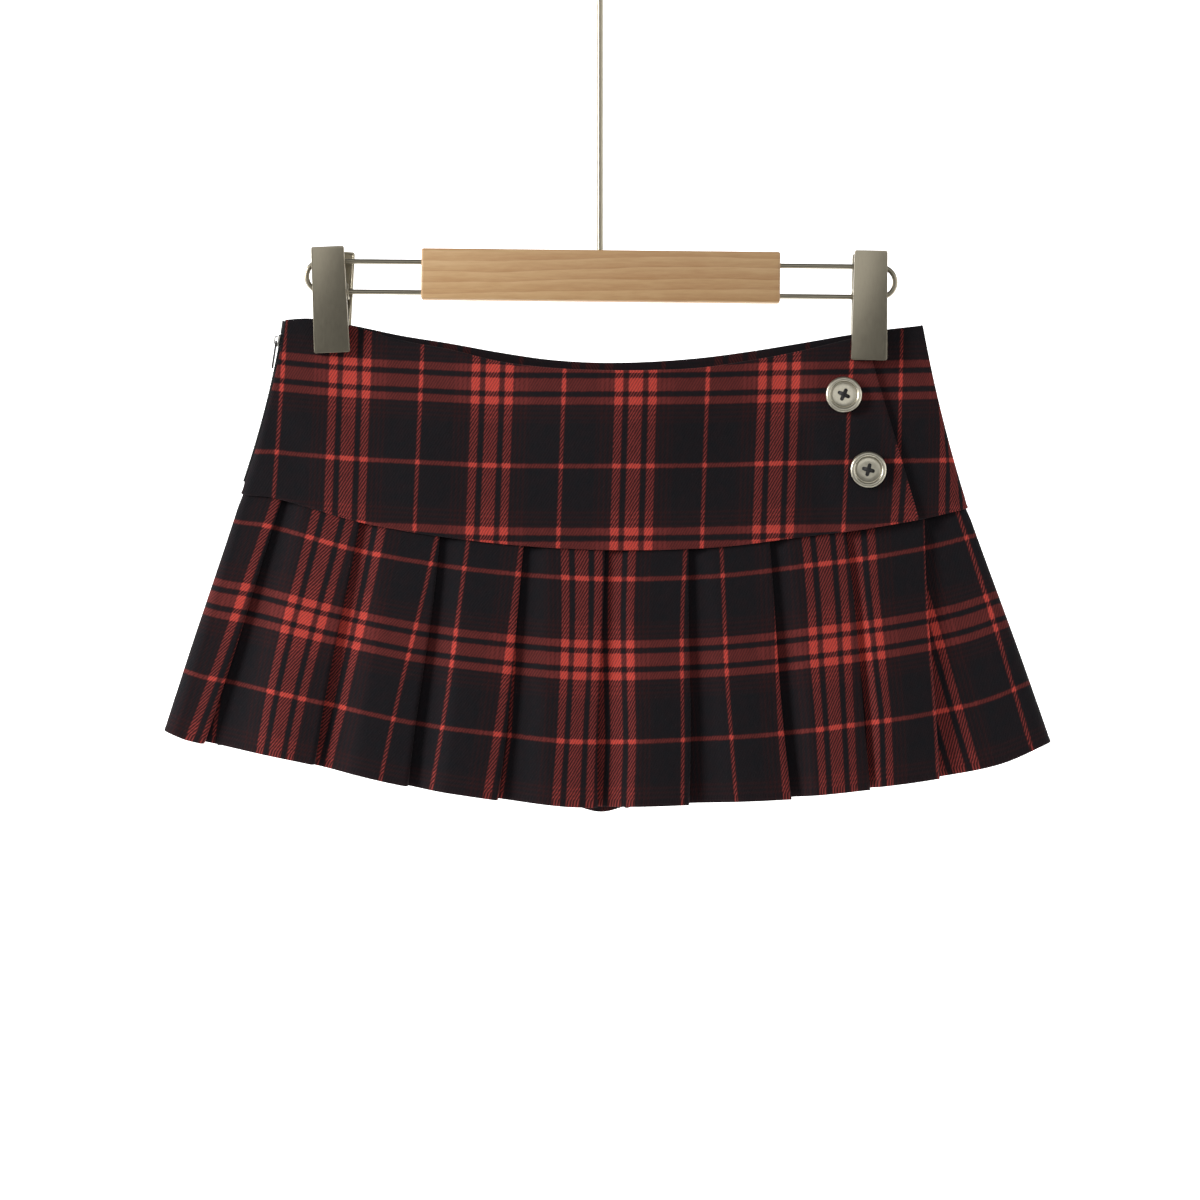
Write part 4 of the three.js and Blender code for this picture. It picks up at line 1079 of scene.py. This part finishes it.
nickel = skinned_material(
    "satin_nickel_plated_brass", 700.0, 3.0, "#b5ae9a", "#d8d3c2", {"Metallic": 1.0}, rough=(0.2, 0.24)
)
thread, thread_tree, thread_surface = new_material("black_polyester_thread_twisted")
thread_place = add_node(thread_tree, "ShaderNodeTexCoord")
thread_twist = add_node(
    thread_tree,
    "ShaderNodeTexWave",
    {"bands_direction": "DIAGONAL"},
    {"Vector": thread_place.outputs["Object"], "Scale": 900.0, "Distortion": 1.0},
)
thread_shade = add_ramp(thread_tree, thread_twist.outputs["Fac"], (0, "#0c0c0d"), (1, "#2a2829"))
thread_bump = add_node(
    thread_tree,
    "ShaderNodeBump",
    inputs={"Strength": 0.5, "Distance": 0.0001, "Height": thread_twist.outputs["Fac"]},
)
surface_at(
    thread_tree,
    thread_surface,
    {
        "Base Color": thread_shade,
        "Roughness": 0.6,
        "Normal": thread_bump.outputs["Normal"],
    },
)

BUTTONS = [
    # x, drop, turn round its own axis, and lean of its face upwards, in degrees
    ("button_upper", 133.8, 80.0, 20, 3.0),
    ("button_lower", 146.9, 121.3, 32, -6.0),
]
BUTTON_SEAT = 0.4
BUTTON_SECTION = [
    # radius, height over the cloth's side of the button
    (0.0, 0.0),
    (8.2, 0.0),
    (9.2, 0.35),
    (9.75, 0.9),
    (10.0, 1.6),
    (9.85, 2.25),
    (9.4, 2.75),
    (8.8, 2.98),
    (8.2, 2.95),
    (7.6, 2.65),
    (7.3, 2.1),
    (7.15, 1.35),
    (6.8, 1.3),
    (6.6, 1.75),
    (6.3, 1.88),
    (4.2, 1.8),
    (0.0, 1.8),
]
BUTTON_HOLE = 1.05
HOLE_SPACING = 3.7


def clear_selection():
    bpy.ops.object.select_all(action="DESELECT")


def settle(piece, material):
    """Puts an object's place into its mesh, and gives it its material and smooth sides."""
    clear_selection()
    piece.select_set(True)
    bpy.context.view_layer.objects.active = piece
    bpy.ops.object.transform_apply(location=True, rotation=True, scale=True)
    bpy.ops.object.shade_smooth_by_angle(angle=math.radians(38))
    piece.data.materials.clear()
    piece.data.materials.append(material)


def spin_profile(name, section, steps):
    """A turned shape: a half section of radius and height, spun round the Z axis."""
    clear_selection()
    bpy.ops.mesh.primitive_circle_add(vertices=3, radius=0.001)
    turned = bpy.context.object
    turned.name = name
    turned.data.name = name
    shape = bmesh.new()
    line = [shape.verts.new((radius, 0, height)) for radius, height in section]
    for start, end in zip(line, line[1:]):
        shape.edges.new((start, end))
    shape.to_mesh(turned.data)
    shape.free()
    bpy.ops.object.mode_set(mode="EDIT")
    bpy.ops.mesh.select_all(action="SELECT")
    bpy.ops.mesh.spin(steps=steps, angle=2 * math.pi, center=(0, 0, 0), axis=(0, 0, 1))
    bpy.ops.mesh.select_all(action="SELECT")
    bpy.ops.mesh.remove_doubles(threshold=1e-6)
    bpy.ops.mesh.normals_make_consistent(inside=False)
    bpy.ops.object.mode_set(mode="OBJECT")
    return turned


def cut_away(piece, cutter, operation="DIFFERENCE"):
    """Cuts one mesh by another, which is then removed."""
    modifier = piece.modifiers.new("cut", "BOOLEAN")
    modifier.operation = operation
    modifier.solver = "EXACT"
    modifier.object = cutter
    clear_selection()
    bpy.context.view_layer.objects.active = piece
    piece.select_set(True)
    bpy.ops.object.modifier_apply(modifier="cut")
    bpy.data.objects.remove(cutter)


def button_seat(x, drop, turn, lean):
    """Where a button lies: nearly square to the wrap's face, and turned round its own axis."""
    a = (drop - waist_drop["front"](x)) / (seam_drop(x) - waist_drop["front"](x))

    def face(dx, da):
        return Vector(
            (
                x + dx,
                float(-yoke_depth("front", x + dx, a + da) - wrap_lift(x + dx, a + da)),
                float(yoke_height("front", x + dx, a + da)),
            )
        )

    across = face(2, 0) - face(-2, 0)
    down = face(0, 0.02) - face(0, -0.02)
    normal = down.cross(across).normalized()
    place = Vector((x, face(0, 0).y, LEVEL - drop)) + normal * BUTTON_SEAT
    facing = Vector((0, 0, 1)).rotation_difference(normal).to_matrix().to_4x4()
    leaned = Matrix.Rotation(math.radians(-lean), 4, "X") @ facing
    return Matrix.Translation(place * MM) @ leaned @ Matrix.Rotation(math.radians(turn), 4, "Z")


def thread_bar(name, start, end, rise, radius):
    """One stitch: a round strand that arches from one hole to another."""
    path = bpy.data.curves.new(name, "CURVE")
    path.dimensions = "3D"
    path.bevel_depth = radius
    path.bevel_resolution = 2
    path.resolution_u = 6
    spline = path.splines.new("BEZIER")
    spline.bezier_points.add(2)
    middle = [(start[0] + end[0]) / 2, (start[1] + end[1]) / 2, rise]
    for point, place in zip(spline.bezier_points, (start, middle, end)):
        point.co = place
        point.handle_left_type = "AUTO"
        point.handle_right_type = "AUTO"
    stitch = bpy.data.objects.new(name, path)
    bpy.context.scene.collection.objects.link(stitch)
    clear_selection()
    stitch.select_set(True)
    bpy.context.view_layer.objects.active = stitch
    bpy.ops.object.convert(target="MESH")
    return bpy.context.object


def join_all(pieces, name):
    clear_selection()
    for piece in pieces:
        piece.select_set(True)
    bpy.context.view_layer.objects.active = pieces[0]
    bpy.ops.object.join()
    joined = bpy.context.object
    joined.name = name
    joined.data.name = name
    return joined


STRANDS = (-0.75, -0.25, 0.25, 0.75)
STRAND_RADIUS = 0.34
DIAGONAL = 0.707
for button_name, x, drop, turn, lean in BUTTONS:
    button = spin_profile(button_name + "_disc", [(r * MM, h * MM) for r, h in BUTTON_SECTION], 64)
    half = HOLE_SPACING / 2 * MM
    for across, up in ((-half, -half), (half, -half), (half, half), (-half, half)):
        clear_selection()
        bpy.ops.mesh.primitive_cylinder_add(
            vertices=24, radius=BUTTON_HOLE * MM, depth=0.01, location=(across, up, 0.001)
        )
        cut_away(button, bpy.context.object)
    seat = button_seat(x, drop, turn, lean)
    button.data.transform(seat)
    settle(button, nickel)
    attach(button, "root")
    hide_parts(button_name)

    # The bunched strands fill the holes, and cross over between them
    stitches = []
    for k, (sx, sy) in enumerate(((1, 1), (1, -1))):
        for strand in STRANDS:
            side_x, side_y = strand * sy * DIAGONAL * MM, -strand * sx * DIAGONAL * MM
            start = (-sx * 1.2 * half + side_x, -sy * 1.2 * half + side_y, 0.0012)
            end = (sx * 1.2 * half + side_x, sy * 1.2 * half + side_y, 0.0012)
            rise = (2.45 + 0.35 * k - 0.12 * abs(strand)) * MM
            stitches.append(thread_bar("stitch", start, end, rise, STRAND_RADIUS * MM))
        for hand in (-1, 1):
            clear_selection()
            bpy.ops.mesh.primitive_cylinder_add(
                vertices=16,
                radius=(BUTTON_HOLE - 0.04) * MM,
                depth=0.0017,
                location=(hand * sx * half, hand * sy * half, 0.0008),
            )
            stitches.append(bpy.context.object)
    sewn = join_all(stitches, button_name + "_thread")
    sewn.data.transform(seat)
    settle(sewn, thread)
    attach(sewn, "root")


# Zip: a concealed zip in the left side seam, drawn up. A black woven tape edge and a
# fine coil show in the seam, with the nickel slider at the top and a black enamelled pull tab.
zip_metal = skinned_material(
    "nickel_plated_zinc_die_cast",
    1500.0,
    2.0,
    "#8f8c86",
    "#c2c0ba",
    {"Metallic": 1.0, "Roughness": 0.3},
)
enamel = skinned_material(
    "black_stove_enamel", 900.0, 2.0, "#111012", "#1d1b1e", {"Roughness": 0.35}, bump=(0.15, 0.0001)
)


def edge_rounded_copy(node, name, width, material):
    """A piece from its own solid: a merged copy, with its pressed or cut edges rounded over."""
    clear_selection()
    solid = bpy.data.objects[node]
    copy = bpy.data.objects.new(name, solid.data.copy())
    copy.data.name = name
    bpy.context.scene.collection.objects.link(copy)
    copy.select_set(True)
    bpy.context.view_layer.objects.active = copy
    bpy.ops.object.mode_set(mode="EDIT")
    bpy.ops.mesh.select_all(action="SELECT")
    bpy.ops.mesh.remove_doubles(threshold=1e-6)
    bpy.ops.mesh.dissolve_limited(angle_limit=math.radians(1))
    bpy.ops.mesh.select_all(action="DESELECT")
    bpy.ops.object.mode_set(mode="OBJECT")
    rounding = copy.modifiers.new("edges", "BEVEL")
    rounding.width = width
    rounding.segments = 3
    rounding.limit_method = "ANGLE"
    rounding.angle_limit = math.radians(35)
    bpy.ops.object.modifier_apply(modifier="edges")
    settle(copy, material)
    return copy


slider = edge_rounded_copy("zip_slider", "zip_slider_body", 0.00014, zip_metal)
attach(slider, "root")
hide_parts("zip_slider")
pull_tab = edge_rounded_copy("zip_pull", "zip_pull_tab", 0.00018, enamel)
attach(pull_tab, "pull_tab")
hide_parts("zip_pull")

# The closed coil shows as a fine black chain in the seam, on the edge of its tape, from the slider
# down to the end of the opening
nylon = skinned_material("black_nylon_coil", 1200.0, 2.0, "#0f0e10", "#222024", {"Roughness": 0.45})

TOOTH_PITCH = 1.5
ZIP_TOP = 47.0  # drops of the chain's ends
ZIP_END = 129.0
TOOTH_SIZE = (2.2, 1.7, 0.9)
TAPE_END_DROP = 42.6
TAPE_END_SIZE = (2.1, 3.4, 7.2)
TAPE_END_TILT = 8


def side_seam_x(drop):
    top = waist_drop["front"](YOKE_LEFT[0])
    return float(yoke_left((drop - top) / (SEAM_DROP[0] - top)))


def rounded_box(name, size, bevel, segments):
    """A box about the origin with rounded edges, its sizes in millimetres."""
    clear_selection()
    bpy.ops.mesh.primitive_cube_add(size=1)
    box = bpy.context.object
    box.name = name
    box.data.name = name
    box.scale = [length * MM for length in size]
    bpy.ops.object.transform_apply(location=False, rotation=False, scale=True)
    rounding = box.modifiers.new("edges", "BEVEL")
    rounding.width = bevel * MM
    rounding.segments = segments
    bpy.ops.object.modifier_apply(modifier="edges")
    return box


tooth = rounded_box("zip_tooth", TOOTH_SIZE, 0.22, 2)
teeth = []
for k in range(int((ZIP_END - ZIP_TOP) / TOOTH_PITCH)):
    for hand in (-1, 1):
        drop = ZIP_TOP + (k + 0.25 * hand) * TOOTH_PITCH
        copy = bpy.data.objects.new("zip_tooth", tooth.data.copy())
        copy.location = ((side_seam_x(drop) - 0.1) * MM, hand * 0.55 * MM, (LEVEL - drop) * MM)
        bpy.context.scene.collection.objects.link(copy)
        teeth.append(copy)
bpy.data.objects.remove(tooth)
chain = join_all(teeth, "zip_chain")
settle(chain, nylon)
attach(chain, "root")

# The tape's two ends are folded over above the slider
tape_end = rounded_box("zip_tape_end", TAPE_END_SIZE, 0.6, 3)
tape_end.location = ((side_seam_x(TAPE_END_DROP) - 0.3) * MM, 0, (LEVEL - TAPE_END_DROP) * MM)
tape_end.rotation_euler = (0, math.radians(TAPE_END_TILT), 0)
settle(tape_end, nylon)
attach(tape_end, "root")


# Hanger: a 3.3 mm steel wire hook stands in a planed beech bar. A 2.8 mm wire loop in each end
# carries a sprung clip of two pressed-steel trays, nickel plated to a satin finish.
beech, beech_tree, beech_surface = new_material("planed_beech_clear_lacquer")
beech_place = add_node(beech_tree, "ShaderNodeTexCoord")
along_grain = add_node(
    beech_tree,
    "ShaderNodeMapping",
    inputs={"Vector": beech_place.outputs["Object"], "Scale": (5.0, 34.0, 34.0)},
)
figure = add_node(
    beech_tree,
    "ShaderNodeTexNoise",
    inputs={"Vector": along_grain.outputs["Vector"], "Scale": 1.4, "Detail": 3.0, "Distortion": 0.6},
)
rings = add_node(
    beech_tree,
    "ShaderNodeTexWave",
    {"bands_direction": "Z", "wave_profile": "SAW"},
    {
        "Vector": along_grain.outputs["Vector"],
        "Scale": 1.6,
        "Distortion": 5.0,
        "Detail": 3.0,
        "Detail Scale": 0.9,
    },
)
fleck_place = add_node(
    beech_tree,
    "ShaderNodeMapping",
    inputs={"Vector": beech_place.outputs["Object"], "Scale": (90.0, 900.0, 900.0)},
)
flecks = add_noise(beech_tree, fleck_place.outputs["Vector"], 1.0, 3.0, 0.6)
wood_tone = maths(
    beech_tree,
    "ADD",
    maths(beech_tree, "MULTIPLY_ADD", rings.outputs["Fac"], 0.32, 0.0),
    maths(
        beech_tree,
        "ADD",
        maths(beech_tree, "MULTIPLY", figure.outputs["Fac"], 0.5),
        maths(beech_tree, "MULTIPLY_ADD", flecks, 0.5, -0.17),
    ),
)
wood_shade = add_ramp(beech_tree, wood_tone, (0.2, "#b88a5b"), (0.52, "#c9a172"), (0.85, "#d9b688"))
wood_bump = add_node(
    beech_tree,
    "ShaderNodeBump",
    inputs={"Strength": 0.12, "Distance": 0.0003, "Height": flecks},
)
surface_at(
    beech_tree,
    beech_surface,
    {
        "Base Color": wood_shade,
        "Roughness": 0.5,
        "Coat Weight": 0.15,
        "Coat Roughness": 0.3,
        "Normal": wood_bump.outputs["Normal"],
    },
)

steel, steel_tree, steel_surface = new_material("satin_nickel_plated_steel")
steel_place = add_node(steel_tree, "ShaderNodeTexCoord")
brushing = add_node(
    steel_tree,
    "ShaderNodeMapping",
    inputs={"Vector": steel_place.outputs["Object"], "Scale": (260.0, 260.0, 60.0)},
)
rubbed = add_noise(steel_tree, brushing.outputs["Vector"], 4.0, 3.0, 0.6)
steel_shade = add_ramp(steel_tree, rubbed, (0, "#9b9382"), (1, "#a9a18d"))
steel_rough = maths(steel_tree, "MULTIPLY_ADD", rubbed, 0.16, 0.24)
surface_at(
    steel_tree,
    steel_surface,
    {"Base Color": steel_shade, "Metallic": 1.0, "Roughness": steel_rough},
)

HANGER_TOP = -196.4
HANGER_TILT = math.radians(0.6)
BAR_MIDDLE = 0.55
BAR_SIZE = (197.0, 12.0, 28.0)
SEATED = 11.6
LOOP_WIRE = 2.8
UPPER_WIRE = 7.3
LOWER_WIRE = 24.0
HOOK_WIRE = 3.3
HOOK_INSIDE = 20.0
hanger_place = Matrix.Translation((0, 0, HANGER_TOP * MM)) @ Matrix.Rotation(HANGER_TILT, 4, "Y")

bar = rounded_box("hanger_bar_beech", BAR_SIZE, 1.2, 3)
bar.data.transform(Matrix.Translation((BAR_MIDDLE * MM, 0, -BAR_SIZE[2] / 2 * MM)))
for hand in (-1, 1):
    for height in (UPPER_WIRE, LOWER_WIRE):
        clear_selection()
        bpy.ops.mesh.primitive_cylinder_add(
            vertices=24,
            radius=(LOOP_WIRE / 2 + 0.25) * MM,
            depth=2 * SEATED * MM,
            location=((BAR_MIDDLE + hand * BAR_SIZE[0] / 2) * MM, 0, -height * MM),
            rotation=(0, math.pi / 2, 0),
        )
        cut_away(bar, bpy.context.object)
clear_selection()
bpy.ops.mesh.primitive_cylinder_add(
    vertices=24, radius=(HOOK_WIRE / 2 + 0.25) * MM, depth=2 * SEATED * MM, location=(0, 0, 0)
)
cut_away(bar, bpy.context.object)
bar.data.transform(hanger_place)
settle(bar, beech)
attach(bar, "root")
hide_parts("hanger_bar")


def drawn_wire(name, places, diameter, rounded=()):
    """A round wire along a line of places in metres. Its ends at the listed indices are domed."""
    path = bpy.data.curves.new(name, "CURVE")
    path.dimensions = "3D"
    path.bevel_depth = diameter / 2 * MM
    path.bevel_resolution = 6
    path.use_fill_caps = True
    spline = path.splines.new("POLY")
    points = [Vector(p) for p in places]
    radii = [1.0] * len(points)
    if -1 in rounded:
        way = (points[-1] - points[-2]).normalized()
        tip = points.pop()
        radii.pop()
        for k in range(5):
            angle = math.pi / 2 * k / 4.4
            points.append(tip + way * (math.sin(angle) - 1) * diameter / 2 * MM)
            radii.append(math.cos(angle))
    spline.points.add(len(points) - 1)
    for point, place, radius in zip(spline.points, points, radii):
        point.co = (*place, 1)
        point.radius = radius
    wire = bpy.data.objects.new(name, path)
    bpy.context.scene.collection.objects.link(wire)
    clear_selection()
    wire.select_set(True)
    bpy.context.view_layer.objects.active = wire
    bpy.ops.object.convert(target="MESH")
    wire = bpy.context.object
    wire.data.name = name
    return wire


def arc_places(centre_x, centre_z, radius, start, end, count):
    angles = [math.radians(lerp(start, end, k / count)) for k in range(count + 1)]
    return [
        ((centre_x + radius * math.cos(t)) * MM, 0, (centre_z + radius * math.sin(t)) * MM) for t in angles
    ]


HOOK_SWING = 60
HOOK_END = 205
hook_radius = HOOK_INSIDE + HOOK_WIRE / 2
bend_height = -HOOK_INSIDE - 2 * hook_radius * math.sin(math.radians(HOOK_SWING))
hook_line = [(0, 0, (HANGER_TOP - SEATED) * MM), (0, 0, (bend_height - 2) * MM)]
hook_line += arc_places(hook_radius, bend_height, hook_radius, 180, 180 - HOOK_SWING, 20)
hook_line += arc_places(0, -HOOK_INSIDE, hook_radius, -HOOK_SWING, HOOK_END, 72)[1:]
hook = drawn_wire("hanger_hook_wire", hook_line, HOOK_WIRE, rounded=(-1,))
settle(hook, steel)
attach(hook, "root")
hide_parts("hanger_hook")

LOOPS = [("wire_left", -1, 162.5), ("wire_right", 1, 163.9)]
loop_radius = (LOWER_WIRE - UPPER_WIRE) / 2
for name, hand, reach in LOOPS:
    seat = BAR_MIDDLE + hand * (BAR_SIZE[0] / 2 - SEATED)
    bend = hand * (reach - LOOP_WIRE / 2 - loop_radius)
    line = [(seat * MM, 0, -UPPER_WIRE * MM)]
    line += arc_places(bend, -(LOWER_WIRE + UPPER_WIRE) / 2, loop_radius, 90, 90 - hand * 180, 32)
    line += [(seat * MM, 0, -LOWER_WIRE * MM)]
    loop = drawn_wire(name + "_loop", line, LOOP_WIRE)
    loop.data.transform(hanger_place)
    settle(loop, steel)
    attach(loop, "root")
    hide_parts(name)

# Clips: each plate is a pressed tray with its edges turned over, and a coil spring round the lower
# wire holds the pair shut
for node in ("clip_left_front", "clip_left_back", "clip_right_front", "clip_right_back"):
    plate = edge_rounded_copy(node, node + "_plate", 0.0008, steel)
    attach(plate, "root")
    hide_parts(node)

SPRING_WIRE = 1.25
SPRING_RADIUS = 4.5
SPRING_LENGTH = 15.2
SPRING_TURNS = 9
for node, x in (("clip_left_spring", -144.7), ("clip_right_spring", 146.1)):
    coil_radius = SPRING_RADIUS - SPRING_WIRE / 2
    start = x - SPRING_LENGTH / 2 + SPRING_WIRE / 2
    run = SPRING_LENGTH - SPRING_WIRE
    count = SPRING_TURNS * 20
    line = []
    for k in range(count + 1):
        turn = 2 * math.pi * SPRING_TURNS * k / count
        line.append(
            (
                (start + run * k / count) * MM,
                coil_radius * math.cos(turn) * MM,
                (coil_radius * math.sin(turn) - LOWER_WIRE) * MM,
            )
        )
    spring = drawn_wire(node + "_coil", line, SPRING_WIRE)
    spring.data.transform(hanger_place)
    settle(spring, steel)
    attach(spring, "root")
    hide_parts(node)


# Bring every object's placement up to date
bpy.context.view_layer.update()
